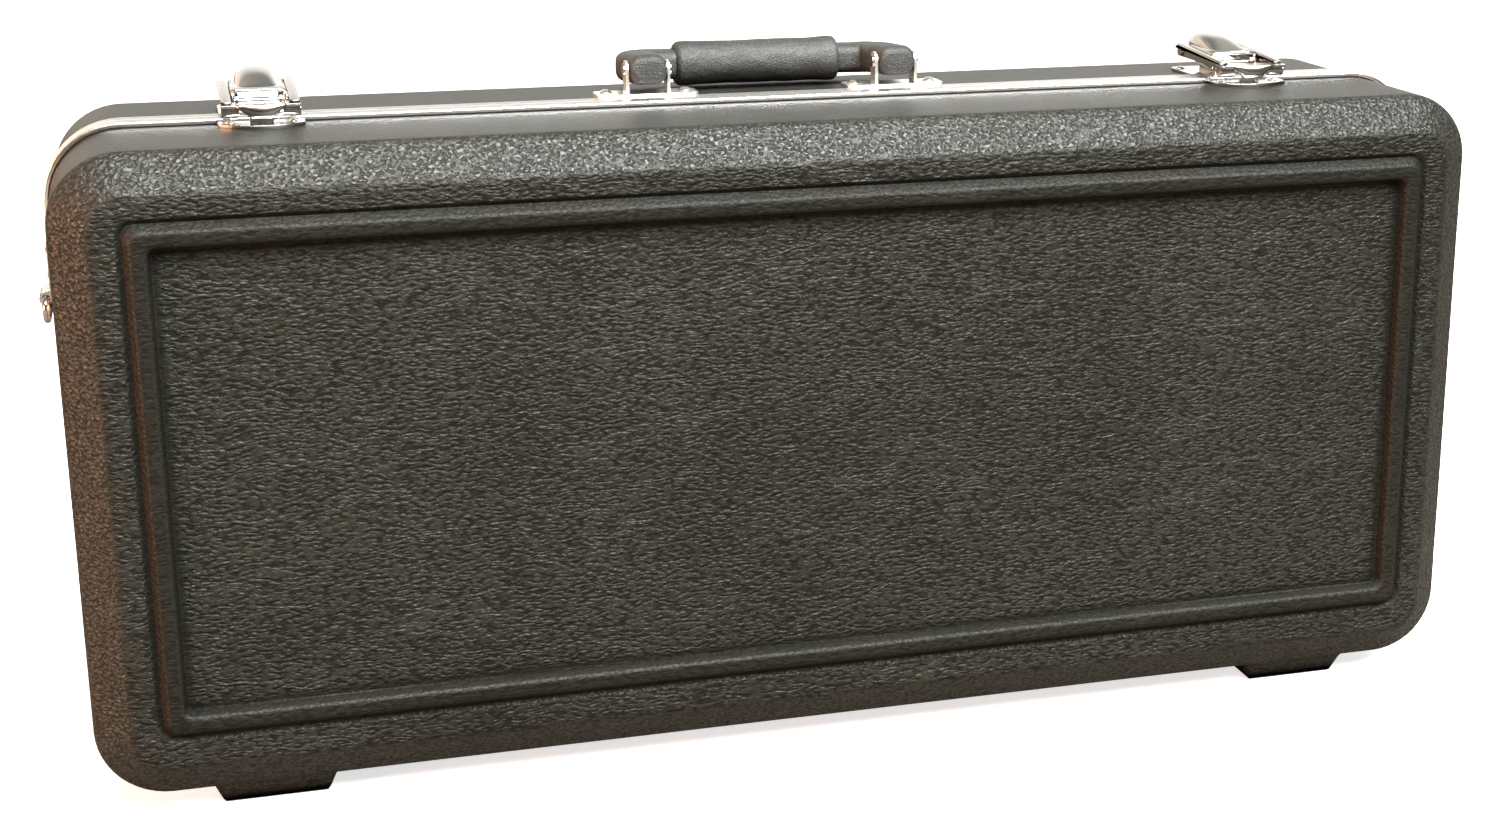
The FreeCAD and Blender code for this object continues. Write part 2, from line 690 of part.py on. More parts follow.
def strap_bracket(holes):
    """The right end's bracket: a plate over the valance's edge with a roll that holds the ring."""
    x = VALANCE_END_X
    plate = box(x, x + SHEET, 2.0, 24.0, 216.5, 241.0)
    packing = box(END_X, x, VALANCE_HALF + 0.2, 24.0, 219.5, 241.0)
    roll = rod(V(RING_X, RING_Y - ROLL_HALF, RING_Z), Y_AXIS, 2.8, 2 * ROLL_HALF)
    neck = box(x, RING_X, RING_Y - ROLL_HALF, RING_Y + ROLL_HALF, RING_Z, 219.0)
    bracket = fuse([plate, packing, roll, neck])
    bore = rod(V(RING_X, 0, RING_Z), Y_AXIS, RING_WIRE_R + RUNNING_GAP, 40)
    return bracket.cut(bore).cut(Part.makeCompound(holes))


def strap_ring():
    """A D-ring of round wire, hanging from the bracket's roll."""
    centre = V(RING_X, RING_Y, RING_Z - RING_DROP / 2)
    path = rounded_wire(RING_WIDTH, RING_DROP, RING_CORNER, centre, Y_AXIS, Z_AXIS)
    start = V(RING_X, RING_Y + RING_WIDTH / 2 - RING_CORNER, RING_Z)
    profile = Part.Wire(Part.makeCircle(RING_WIRE_R, start, Y_AXIS))
    return path.makePipeShell([profile], True, True)


# ---- inside ------------------------------------------------------------------------------------


def figure_eight(shrink, y0, y1):
    """The instrument body's outline: two round bouts with a smoothed waist."""
    lower = rod(V(LOWER_BOUT_X, y0, MID_Z), Y_AXIS, LOWER_BOUT_R - shrink, y1 - y0)
    upper = rod(V(UPPER_BOUT_X, y0, MID_Z), Y_AXIS, UPPER_BOUT_R - shrink, y1 - y0)
    body = lower.fuse(upper).removeSplitter()
    waist = []
    for edge in edges_along(body, 1):
        if LOWER_BOUT_X < edge.Vertexes[0].Point.x < UPPER_BOUT_X:
            waist.append(edge)
    return body.makeFillet(WAIST_R + shrink, waist)


def base_insert():
    """The foam block that fills the back half, cut out for the instrument and the compartment."""
    block = bevelled_block(INSERT_INSET, INSERT_FRONT_Y, INSERT_BACK_Y)
    front = -1.0
    floor = NECK_HOLLOW_Y
    neck_low = MID_Z - NECK_WIDTH / 2
    neck_high = MID_Z + NECK_WIDTH / 2
    head_low = MID_Z - HEAD_WIDTH / 2
    head_high = MID_Z + HEAD_WIDTH / 2
    neck = box(UPPER_BOUT_X, HEAD_X[0] + 10, front, floor, neck_low, neck_high)
    head = rounded_block(HEAD_X[0], HEAD_X[1], front, floor, head_low, head_high, 12)
    pocket = rounded_block(*POCKET_X, front, POCKET_BACK_Y, *POCKET_Z, 5)
    ledge = box(
        POCKET_X[0] - POCKET_LEDGE,
        POCKET_X[1] + POCKET_LEDGE,
        front,
        POCKET_LID_Y + POCKET_LID_THICK + 0.2,
        POCKET_Z[0] - POCKET_LEDGE,
        POCKET_Z[1] + POCKET_LEDGE,
    )
    hollows = [figure_eight(0, front, BODY_HOLLOW_Y), neck, head, pocket, ledge]
    return block.cut(fuse(hollows))


def cavity_floor_pad():
    """The soft pad on the floor of the body hollow."""
    return figure_eight(1.5, BODY_HOLLOW_Y - FLOOR_PAD, BODY_HOLLOW_Y)


def neck_rest():
    """A saddle across the neck channel."""
    half = NECK_WIDTH / 2 - 0.5
    block = box(*NECK_REST_X, NECK_REST_Y, NECK_HOLLOW_Y, MID_Z - half, MID_Z + half)
    saddle = rod(V(NECK_REST_X[0] - 1, 8, MID_Z), X_AXIS, SADDLE_R, NECK_REST_X[1] - NECK_REST_X[0] + 2)
    return block.cut(saddle)


def compartment_lid():
    """The covered board over the accessory compartment, with a half-round lower edge to turn on."""
    gap = 0.6
    edge_r = POCKET_LID_THICK / 2
    x0 = POCKET_X[0] - POCKET_LEDGE + gap
    x1 = POCKET_X[1] + POCKET_LEDGE - gap
    z0 = POCKET_Z[0] - POCKET_LEDGE + gap + edge_r
    z1 = POCKET_Z[1] + POCKET_LEDGE - gap
    board = box(x0, x1, POCKET_LID_Y, POCKET_LID_Y + POCKET_LID_THICK, z0, z1)
    turning_edge = rod(V(x0, POCKET_LID_Y + edge_r, z0), X_AXIS, edge_r, x1 - x0)
    return fuse([board, turning_edge])


def compartment_tab():
    """The ribbon loop that lifts the compartment's lid, lying flat against it."""
    left = (POCKET_X[0] + POCKET_X[1] - TAB_WIDTH) / 2
    top = POCKET_Z[1] + POCKET_LEDGE - 4
    back_y = POCKET_LID_Y - 0.05
    return rounded_block(left, left + TAB_WIDTH, back_y - TAB_THICK, back_y, top - TAB_LENGTH, top, 2)


def lid_lining():
    """The lining board on the lid's inner face."""
    length = PANEL_LENGTH - 8
    height = PANEL_HEIGHT + 10
    front_y = LID_INNER_Y + 0.3
    return slab(length, height, 12, front_y, front_y + LINING_THICK)


def lid_pad_body():
    """The foam cushion in the lid that holds the instrument's body down."""
    return figure_eight(8, PAD_BACK_Y, LID_PAD_FACE_Y)


def lid_pad_head():
    """The smaller cushion over the headstock."""
    half = HEAD_WIDTH / 2 - 6
    low = MID_Z - half
    high = MID_Z + half
    return rounded_block(*HEAD_PAD_X, PAD_BACK_Y, HEAD_PAD_FACE_Y, low, high, 12)


# ---- rivet groups and their holes --------------------------------------------------------------


def both_ends(places):
    """Points at +X and their mirror images at -X."""
    return places + [V(-point.x, point.y, point.z) for point in places]


def rivets(places, direction, head_r, head_h, grip):
    return [domed_rivet(point, direction, head_r, head_h, grip) for point in places]


def holes(places, direction, grip):
    return [shank_hole(point, direction, grip) for point in places]


def rivet_sets():
    """Every set of rivets as (half, places, direction, head radius, head height, grip)."""
    down = V(0, 0, -1)
    base_hinges = []
    lid_hinges = []
    for x in HINGE_XS:
        base_hinges += hinge_rivet_places(x, 1)
        lid_hinges += hinge_rivet_places(x, -1)
    ends = ring_rivet_places()
    left_ends = [V(-point.x, point.y, point.z) for point in ends]
    return [
        ("base", both_ends(bracket_rivet_places(BRACKET_X)), Z_AXIS, 3.2, 1.6, RAISED_GRIP),
        ("base", both_ends(latch_rivet_places()), Z_AXIS, 2.6, 1.1, PLATE_GRIP),
        ("base", base_hinges, down, 2.8, 1.2, PLATE_GRIP),
        ("base", ends, X_AXIS, 2.8, 1.2, RAISED_GRIP),
        ("base", left_ends, X_AXIS * -1, 2.8, 1.2, RAISED_GRIP),
        ("lid", both_ends(keeper_rivet_places()), Z_AXIS, 2.6, 0.9, PLATE_GRIP),
        ("lid", lid_hinges, down, 2.8, 1.2, PLATE_GRIP),
    ]


def rivet_group(half):
    group = []
    for owner, places, direction, head_r, head_h, grip in rivet_sets():
        if owner == half:
            group += rivets(places, direction, head_r, head_h, grip)
    return Part.makeCompound(group)


def hole_group(half):
    group = []
    for owner, places, direction, head_r, head_h, grip in rivet_sets():
        if owner == half:
            group += holes(places, direction, grip)
    return group


def build():
    os.makedirs("parts", exist_ok=True)
    base_holes = hole_group("base")
    lid_holes = hole_group("lid")

    write("base_shell", half_shell(base_holes))
    lid = mirror_y(half_shell([mirror_y(hole) for hole in lid_holes]))
    write("lid_shell", lid)
    write("base_valance", base_valance())
    write("lid_valance", lid_valance())

    write("hinge_leaves_base", hinge_leaves_base(base_holes))
    write("hinge_leaves_lid", hinge_leaves_lid(lid_holes))
    write("hinge_pins", hinge_pins())

    write("handle_bracket_left", handle_bracket(-BRACKET_X, base_holes))
    write("handle_bracket_right", handle_bracket(BRACKET_X, base_holes))
    write("handle_pins", handle_pins())
    write("handle_core", handle_core())
    write("handle_cover", handle_cover())
    write("handle_grip", handle_grip())

    ended = {
        "latch_keeper": latch_keeper(lid_holes),
        "latch_base": latch_base(base_holes),
        "latch_lever_pin": latch_lever_pin(),
        "latch_lever": latch_lever(),
        "latch_claw_pin": latch_claw_pin(),
        "latch_claw": latch_claw(),
        "strap_bracket": strap_bracket(base_holes),
        "strap_ring": strap_ring(),
    }
    for name, shape in ended.items():
        write(name + "_right", shape)
        write(name + "_left", mirror_x(shape))

    write("base_insert", base_insert())
    write("cavity_floor_pad", cavity_floor_pad())
    write("neck_rest", neck_rest())
    write("compartment_lid", compartment_lid())
    write("compartment_tab", compartment_tab())
    write("lid_lining", lid_lining())
    write("lid_pad_body", lid_pad_body())
    write("lid_pad_head", lid_pad_head())

    write("rivets_base", rivet_group("base"))
    write("rivets_lid", rivet_group("lid"))


build()
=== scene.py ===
"""Looks of a moulded instrument case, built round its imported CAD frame. Metres, +Z up, lid at -Y."""

import json
import math

import bmesh
import bpy
import numpy as np
from mathutils import Matrix, Vector, noise

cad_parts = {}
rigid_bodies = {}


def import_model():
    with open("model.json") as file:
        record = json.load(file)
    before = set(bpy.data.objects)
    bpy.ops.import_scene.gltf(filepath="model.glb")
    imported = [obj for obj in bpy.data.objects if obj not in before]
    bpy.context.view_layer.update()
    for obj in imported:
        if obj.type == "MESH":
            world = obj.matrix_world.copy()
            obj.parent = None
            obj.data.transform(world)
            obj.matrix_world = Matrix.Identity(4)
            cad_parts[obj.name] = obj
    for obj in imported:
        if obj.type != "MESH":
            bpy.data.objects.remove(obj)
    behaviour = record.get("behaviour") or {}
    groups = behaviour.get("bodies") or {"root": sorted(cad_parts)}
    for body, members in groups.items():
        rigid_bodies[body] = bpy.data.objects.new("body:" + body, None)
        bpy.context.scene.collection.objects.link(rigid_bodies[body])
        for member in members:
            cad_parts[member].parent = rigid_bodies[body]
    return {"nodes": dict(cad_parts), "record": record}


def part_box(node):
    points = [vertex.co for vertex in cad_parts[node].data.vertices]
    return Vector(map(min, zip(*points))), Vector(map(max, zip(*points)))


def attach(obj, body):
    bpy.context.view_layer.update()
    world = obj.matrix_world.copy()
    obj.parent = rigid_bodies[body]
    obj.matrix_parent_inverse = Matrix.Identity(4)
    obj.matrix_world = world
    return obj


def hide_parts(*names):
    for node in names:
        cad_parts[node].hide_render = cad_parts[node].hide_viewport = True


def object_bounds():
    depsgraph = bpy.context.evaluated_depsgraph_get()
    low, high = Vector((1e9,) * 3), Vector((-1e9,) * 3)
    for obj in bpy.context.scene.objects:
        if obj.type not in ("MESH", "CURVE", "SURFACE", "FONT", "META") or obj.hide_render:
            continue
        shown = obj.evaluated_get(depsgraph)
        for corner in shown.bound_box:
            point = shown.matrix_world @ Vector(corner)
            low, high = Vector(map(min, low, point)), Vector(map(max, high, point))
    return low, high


MM = 0.001
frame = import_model()
cad_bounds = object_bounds()

# Driving sizes: some worked out from the frame, the rest given
lid_low, lid_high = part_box("lid_shell")
valance_low, valance_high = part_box("base_valance")
HALF_LENGTH = lid_high.x
VALANCE_PROUD = valance_high.x - HALF_LENGTH
TOP_Z = lid_high.z
BOTTOM_Z = valance_low.z + VALANCE_PROUD
HALF_HEIGHT = (TOP_Z - BOTTOM_Z) / 2
MID_Z = (TOP_Z + BOTTOM_Z) / 2
VALANCE_HALF = valance_high.y
CREST_Y = -lid_low.y
BEAD_RISE = 3.5 * MM
FACE_Y = CREST_Y - BEAD_RISE
CORNER = 31 * MM
WALL = 3 * MM
PANEL_RISE = 1.5 * MM
PANEL_HALF_X = 280.5 * MM
PANEL_HALF_Z = 100 * MM
BEAD_WIDTH = 10.7 * MM
BEVEL_IN = 16 * MM
BEVEL_DEEP = 12 * MM
PANEL_SINK = 2.5 * MM
PANEL_EASE = 24 * MM
FOOT_X = 246 * MM
FOOT_HALF = 27 * MM
FOOT_Y0 = 14 * MM
FOOT_Y1 = 67 * MM
RIM_Y = 3.2 * MM
GRAIN_DEPTH = 0.6 * MM
ARC_STEPS = 12
LONG_STRAIGHT = HALF_LENGTH - CORNER
SHORT_STRAIGHT = HALF_HEIGHT - CORNER


# ---- node helpers ------------------------------------------------------------------------------


def add(tree, kind, inputs=None, **settings):
    """A node with its settings, its input values and its incoming links."""
    made = tree.nodes.new(kind)
    for key, value in settings.items():
        setattr(made, key, value)
    for key, value in (inputs or {}).items():
        if isinstance(value, bpy.types.NodeSocket):
            tree.links.new(value, made.inputs[key])
        else:
            made.inputs[key].default_value = value
    return made


def maths(tree, operation, a, b=0.0, c=0.0, clamp=False):
    made = add(tree, "ShaderNodeMath", {0: a, 1: b, 2: c}, operation=operation, use_clamp=clamp)
    return made.outputs[0]


def ramp(tree, value, low, high):
    """value mapped smoothly from low..high to 0..1."""
    made = add(
        tree,
        "ShaderNodeMapRange",
        {"Value": value, "From Min": low, "From Max": high},
        interpolation_type="SMOOTHSTEP",
    )
    return made.outputs["Result"]


def blend_value(tree, share, a, b):
    return add(tree, "ShaderNodeMix", {0: share, 2: a, 3: b}, data_type="FLOAT").outputs[0]


def blend_colour(tree, share, a, b):
    return add(tree, "ShaderNodeMix", {0: share, 6: a, 7: b}, data_type="RGBA").outputs[2]


def stretched(tree, point, per_metre):
    """Object coordinates multiplied by a scale for each axis, in cells a metre."""
    return add(tree, "ShaderNodeVectorMath", {0: point, 1: per_metre}, operation="MULTIPLY").outputs[0]


def noise_value(tree, point, scale, detail=3.0, roughness=0.5, distortion=0.0):
    made = add(
        tree,
        "ShaderNodeTexNoise",
        {"Vector": point, "Scale": scale, "Detail": detail, "Roughness": roughness, "Distortion": distortion},
    )
    return made.outputs["Fac"]


def voronoi(tree, cells, feature):
    """A Voronoi distance over coordinates that already count in cells."""
    made = add(tree, "ShaderNodeTexVoronoi", {"Vector": cells, "Scale": 1.0}, feature=feature)
    return made.outputs["Distance"]


def vector_maths(tree, operation, inputs):
    return add(tree, "ShaderNodeVectorMath", inputs, operation=operation).outputs[0]


def wobbled(tree, point, scale, amount):
    """Coordinates pushed about by noise, so that cells are not even."""
    made = add(tree, "ShaderNodeTexNoise", {"Vector": point, "Scale": scale, "Detail": 2.0})
    centred = vector_maths(tree, "SUBTRACT", {0: made.outputs["Color"], 1: (0.5, 0.5, 0.5)})
    scaled = vector_maths(tree, "SCALE", {0: centred, "Scale": amount})
    return vector_maths(tree, "ADD", {0: point, 1: scaled})


def new_material(name):
    made = bpy.data.materials.new(name)
    made.use_nodes = True
    tree = made.node_tree
    tree.nodes.clear()
    surface = tree.nodes.new("ShaderNodeBsdfPrincipled")
    output = tree.nodes.new("ShaderNodeOutputMaterial")
    tree.links.new(surface.outputs[0], output.inputs["Surface"])
    point = tree.nodes.new("ShaderNodeTexCoord").outputs["Object"]
    return made, tree, surface, point


def finish_surface(tree, surface, colour, roughness, height=None, depth=0.0, metallic=0.0, specular=0.5):
    """Joins a material's colour, roughness and bump height, with depth in metres, to its surface."""
    for key, value in (("Base Color", colour), ("Roughness", roughness), ("Metallic", metallic)):
        if isinstance(value, bpy.types.NodeSocket):
            tree.links.new(value, surface.inputs[key])
        else:
            surface.inputs[key].default_value = value
    surface.inputs["Specular IOR Level"].default_value = specular
    if height is not None:
        bump = add(tree, "ShaderNodeBump", {"Height": height, "Distance": depth, "Strength": 1.0})
        tree.links.new(bump.outputs[0], surface.inputs["Normal"])


# ---- materials ---------------------------------------------------------------------------------


def pebbles(tree, cells):
    """Domes that fill Voronoi cells, with narrow cracks between them."""
    from_centre = voronoi(tree, cells, "F1")
    fall = maths(tree, "MULTIPLY", maths(tree, "MULTIPLY", from_centre, from_centre), 1.1)
    dome = maths(tree, "SUBTRACT", 1.0, fall)
    crack = ramp(tree, voronoi(tree, cells, "DISTANCE_TO_EDGE"), -0.06, 0.2)
    return maths(tree, "MULTIPLY", dome, crack, clamp=True)


def near_bead(tree, point):
    """1 on the raised bead, where the sheet is pulled thin and its grain is flatter, 0 elsewhere."""
    split = add(tree, "ShaderNodeSeparateXYZ", {0: point})
    past_end = maths(tree, "SUBTRACT", maths(tree, "ABSOLUTE", split.outputs["X"]), PANEL_HALF_X)
    off_middle = maths(tree, "ABSOLUTE", maths(tree, "SUBTRACT", split.outputs["Z"], MID_Z + PANEL_RISE))
    outward = maths(tree, "MAXIMUM", past_end, maths(tree, "SUBTRACT", off_middle, PANEL_HALF_Z))
    started = ramp(tree, outward, -4 * MM, -1 * MM)
    not_over = ramp(tree, outward, 14 * MM, 11 * MM)
    return maths(tree, "MULTIPLY", started, not_over)


def face_grain(tree, warped):
    """Height of the grain on the flat faces: long ripples, short pebbles and a few veins."""
    wave = noise_value(tree, stretched(tree, warped, (270.0, 700.0, 760.0)), 1.0, 0.0, 0.4)
    ripple = ramp(tree, wave, 0.34, 0.60)
    short_pebble = pebbles(tree, stretched(tree, warped, (300.0, 430.0, 470.0)))
    height = maths(tree, "MULTIPLY_ADD", ripple, 0.52, maths(tree, "MULTIPLY", short_pebble, 0.40))
    vein_noise = noise_value(tree, stretched(tree, warped, (16.0, 40.0, 50.0)), 1.0, 1.0, 0.5, 0.4)
    from_vein = maths(tree, "ABSOLUTE", maths(tree, "SUBTRACT", vein_noise, 0.5))
    return maths(tree, "MULTIPLY_ADD", ramp(tree, from_vein, 0.024, 0.0), 0.26, height)


def bevel_grain(tree, looser, warped):
    """Height of the grain on the bevels: lumps and round pebbles."""
    lump_noise = noise_value(tree, stretched(tree, warped, (560.0, 640.0, 640.0)), 1.0, 0.0, 0.4)
    lumps = ramp(tree, lump_noise, 0.34, 0.62)
    round_pebble = pebbles(tree, stretched(tree, looser, (380.0, 430.0, 430.0)))
    pebble = maths(tree, "MULTIPLY_ADD", lumps, 0.50, maths(tree, "MULTIPLY", round_pebble, 0.45))
    return maths(tree, "MULTIPLY_ADD", pebble, 0.85, 0.15)


def plastic_colour(tree, point, height, patch, pointiness, unshaded_share):
    """Black plastic with a painted highlight on the grain's tops, dust, worn ridges and painted shade in
    creases and recesses.
    """
    dark = (0.0065, 0.0060, 0.0045, 1)
    light = (0.0190, 0.0188, 0.0138, 1)
    dusty = (0.042, 0.041, 0.035, 1)
    rubbed = (0.09, 0.085, 0.08, 1)
    # crease: the near-black colour of the painted shade in creases and recesses
    crease = (0.003, 0.003, 0.003, 1)
    # Painted highlight: the grain's tops are given a lighter colour, in random patches.
    lit_share = maths(tree, "MULTIPLY", height, ramp(tree, patch, 0.1, 0.8))
    colour = blend_colour(tree, lit_share, dark, light)
    dust = ramp(tree, noise_value(tree, point, 38.0, 6.0, 0.7), 0.56, 0.78)
    colour = blend_colour(tree, maths(tree, "MULTIPLY", dust, 0.2), colour, dusty)
    worn = ramp(tree, pointiness, 0.56, 0.66)
    worn = maths(tree, "MULTIPLY", worn, ramp(tree, noise_value(tree, point, 70.0, 5.0, 0.7), 0.42, 0.62))
    colour = blend_colour(tree, maths(tree, "MULTIPLY", worn, 0.4), colour, rubbed)
    # Painted shade: the colour goes to near black where ambient occlusion finds creases and recesses.
    return blend_colour(tree, unshaded_share, crease, colour)


def grained_plastic():
    """Vacuum-formed black plastic: rippled grain on the faces, pebbles on the bevels, faint on walls."""
    made, tree, surface, point = new_material("grained_plastic")
    loose = wobbled(tree, point, 60.0, 0.0030)
    looser = wobbled(tree, loose, 300.0, 0.0006)
    warped = wobbled(tree, looser, 90.0, 0.0022)
    geometry = tree.nodes.new("ShaderNodeNewGeometry")
    local_normal = add(
        tree,
        "ShaderNodeVectorTransform",
        {0: geometry.outputs["True Normal"]},
        vector_type="NORMAL",
        convert_from="WORLD",
        convert_to="OBJECT",
    )
    split = add(tree, "ShaderNodeSeparateXYZ", {0: local_normal.outputs[0]})
    facing = maths(tree, "ABSOLUTE", split.outputs["Y"])
    on_face = ramp(tree, facing, 0.88, 0.985)
    on_wall = ramp(tree, facing, 0.35, 0.08)
    height = blend_value(tree, on_face, bevel_grain(tree, looser, warped), face_grain(tree, warped))
    height = maths(tree, "MULTIPLY", height, blend_value(tree, on_wall, 1.0, 0.28))
    height = maths(tree, "MULTIPLY", height, blend_value(tree, near_bead(tree, point), 1.0, 0.42))

    patch = noise_value(tree, point, 9.0, 4.0, 0.6)
    # Painted shade: ambient occlusion within 9 mm darkens the colour and dims the specular in creases and
    # recesses.
    unshaded_share = add(tree, "ShaderNodeAmbientOcclusion", {"Distance": 9 * MM}, samples=6).outputs["AO"]
    unshaded_share = ramp(tree, unshaded_share, 0.35, 0.95)
    colour = plastic_colour(tree, point, height, patch, geometry.outputs["Pointiness"], unshaded_share)

    uneven = maths(tree, "MULTIPLY", maths(tree, "SUBTRACT", patch, 0.5), 0.12)
    roughness = maths(tree, "ADD", blend_value(tree, height, 0.60, 0.44), uneven)
    roughness = blend_value(tree, on_wall, roughness, 0.44)
    finish_surface(tree, surface, colour, roughness, height, GRAIN_DEPTH)
    glossy = blend_value(tree, on_wall, blend_value(tree, height, 0.10, 0.50), 0.20)
    glossy = maths(tree, "MULTIPLY", glossy, blend_value(tree, on_face, 1.0, 0.62))
    # Painted shade: specular is dimmed where ambient occlusion finds recesses.
    tree.links.new(maths(tree, "MULTIPLY", glossy, unshaded_share), surface.inputs["Specular IOR Level"])
    return made


def bright_metal(name, tint, roughness, streak_axis, bump=0.00001, ease=0.0004):
    """Plated or anodised metal with eased edges, fine lines along one axis and faint stains."""
    made, tree, surface, point = new_material(name)
    along = [900.0, 900.0, 900.0]
    along[streak_axis] = 22.0
    lines = noise_value(tree, stretched(tree, point, tuple(along)), 1.0, 3.0, 0.6)
    stain = noise_value(tree, point, 60.0, 5.0, 0.65)
    dents = noise_value(tree, point, 260.0, 2.0, 0.5)
    warm = tuple(channel * factor for channel, factor in zip(tint, (0.93, 0.87, 0.80))) + (1,)
    stained = maths(tree, "MULTIPLY", ramp(tree, stain, 0.5, 0.78), 0.55)
    colour = blend_colour(tree, stained, tint + (1,), warm)
    rough = maths(tree, "MULTIPLY_ADD", lines, 0.14, roughness - 0.07)
    rough = maths(tree, "ADD", rough, maths(tree, "MULTIPLY", ramp(tree, stain, 0.55, 0.8), 0.12))
    height = maths(tree, "ADD", maths(tree, "MULTIPLY", lines, 0.5), maths(tree, "MULTIPLY", dents, 1.2))
    finish_surface(tree, surface, colour, rough, height, bump, metallic=1.0)
    eased = add(tree, "ShaderNodeBevel", {"Radius": ease}, samples=4)
    tree.links.new(eased.outputs[0], surface.inputs["Normal"].links[0].from_node.inputs["Normal"])
    return made


def leather():
    """Black grained leather with pulled wrinkles and greyer, glossier patches here and there."""
    made, tree, surface, point = new_material("handle_leather")
    loose = wobbled(tree, point, 260.0, 0.0012)
    from_edge = voronoi(tree, stretched(tree, loose, (720.0, 900.0, 900.0)), "DISTANCE_TO_EDGE")
    cells = ramp(tree, from_edge, 0.0, 0.4)
    folds = noise_value(tree, stretched(tree, loose, (120.0, 260.0, 260.0)), 1.0, 5.0, 0.6, 0.4)
    height = maths(tree, "ADD", maths(tree, "MULTIPLY", cells, 0.45), maths(tree, "MULTIPLY", folds, 0.9))
    patch = noise_value(tree, point, 45.0, 4.0, 0.6)
    dark = (0.015, 0.0146, 0.0136, 1)
    light = (0.034, 0.0332, 0.031, 1)
    crease = (0.01, 0.01, 0.01, 1)
    colour = blend_colour(tree, ramp(tree, patch, 0.3, 0.7), dark, light)
    creased = maths(tree, "MULTIPLY", ramp(tree, cells, 0.5, 0.0), 0.6)
    colour = blend_colour(tree, creased, colour, crease)
    rough = blend_value(tree, patch, 0.66, 0.50)
    finish_surface(tree, surface, colour, rough, height, 0.00028)
    return made


def plush(name, dark, light):
    """Short-pile plush: soft sheen, fine pile and brushed patches."""
    made, tree, surface, point = new_material(name)
    pile = noise_value(tree, point, 1500.0, 2.0, 0.7)
    brushed = noise_value(tree, stretched(tree, point, (14.0, 14.0, 22.0)), 1.0, 4.0, 0.6, 0.8)
    brushed = maths(tree, "MULTIPLY", brushed, 0.6)
    share = maths(tree, "ADD", maths(tree, "MULTIPLY", pile, 0.5), brushed, clamp=True)
    colour = blend_colour(tree, ramp(tree, share, 0.3, 0.8), dark + (1,), light + (1,))
    height = maths(tree, "ADD", pile, brushed)
    finish_surface(tree, surface, colour, 0.92, height, 0.0006, specular=0.2)
    surface.inputs["Sheen Weight"].default_value = 0.55
    surface.inputs["Sheen Roughness"].default_value = 0.45
    surface.inputs["Sheen Tint"].default_value = (0.55, 0.60, 0.75, 1)
    return made


def ribbon():
    """Woven ribbon: a twill of fine threads."""
    made, tree, surface, point = new_material("woven_ribbon")
    threads = []
    for direction in ("X", "Z"):
        wave = add(tree, "ShaderNodeTexWave", {"Vector": point, "Scale": 420.0}, bands_direction=direction)
        threads.append(wave.outputs["Fac"])
    weave = maths(tree, "MULTIPLY", *threads)
    colour = blend_colour(tree, weave, (0.012, 0.012, 0.014, 1), (0.05, 0.05, 0.056, 1))
    finish_surface(tree, surface, colour, 0.7, weave, 0.0002)
    return made


MATERIALS = {
    "shell_plastic": grained_plastic(),
    "valance_metal": bright_metal("valance_metal", (0.93, 0.90, 0.89), 0.22, 0, ease=0.0001),
    "plated_steel": bright_metal("plated_steel", (0.43, 0.425, 0.41), 0.18, 1),
    "bracket_steel": bright_metal("bracket_steel", (0.88, 0.87, 0.86), 0.34, 1),
    "rivet_metal": bright_metal("rivet_metal", (0.80, 0.79, 0.77), 0.22, 2),
    "core_steel": bright_metal("core_steel", (0.45, 0.45, 0.46), 0.35, 0),
    "handle_leather": leather(),
    "plush": plush("plush", (0.0095, 0.0100, 0.0125), (0.029, 0.0305, 0.037)),
    "lining": plush("lining_plush", (0.0085, 0.0090, 0.0110), (0.025, 0.0262, 0.032)),
    "ribbon": ribbon(),
}


def dress_cad_nodes():
    """Every CAD node gets the procedural material of its slot."""
    slots = {part["node"]: part["material_slot"] for part in frame["record"]["subparts"]}
    for name, obj in frame["nodes"].items():
        obj.data.materials.clear()
        bracket = name.startswith("handle_bracket")
        obj.data.materials.append(MATERIALS["bracket_steel" if bracket else slots[name]])


# ---- mesh helpers ------------------------------------------------------------------------------


def make_object(name, points, faces, slot, body):
    """A mesh object that rides on a body and wears its slot's material."""
    mesh = bpy.data.meshes.new(name)
    mesh.from_pydata([tuple(point) for point in points], [], faces)
    work = bmesh.new()
    work.from_mesh(mesh)
    bmesh.ops.remove_doubles(work, verts=work.verts, dist=0.004 * MM)
    bmesh.ops.recalc_face_normals(work, faces=work.faces)
    work.to_mesh(mesh)
    work.free()
    mesh.polygons.foreach_set("use_smooth", [True] * len(mesh.polygons))
    obj = bpy.data.objects.new(name, mesh)
    bpy.context.scene.collection.objects.link(obj)
    mesh.materials.append(MATERIALS[slot])
    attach(obj, body)
    return obj


def loft(rings, closed_profile=False, cap_first=False, cap_last=False):
    """Points and quads through rings that all have the same number of points."""
    count = len(rings[0])
    points = [point for ring in rings for point in ring]
    faces = []
    spans = len(rings) if closed_profile else len(rings) - 1
    for row in range(spans):
        a = row * count
        b = ((row + 1) % len(rings)) * count
        for column in range(count):
            after = (column + 1) % count
            faces.append((a + column, a + after, b + after, b + column))
    if cap_first:
        faces.append(tuple(range(count))[::-1])
    if cap_last:
        start = (len(rings) - 1) * count
        faces.append(tuple(range(start, start + count)))
    return points, faces


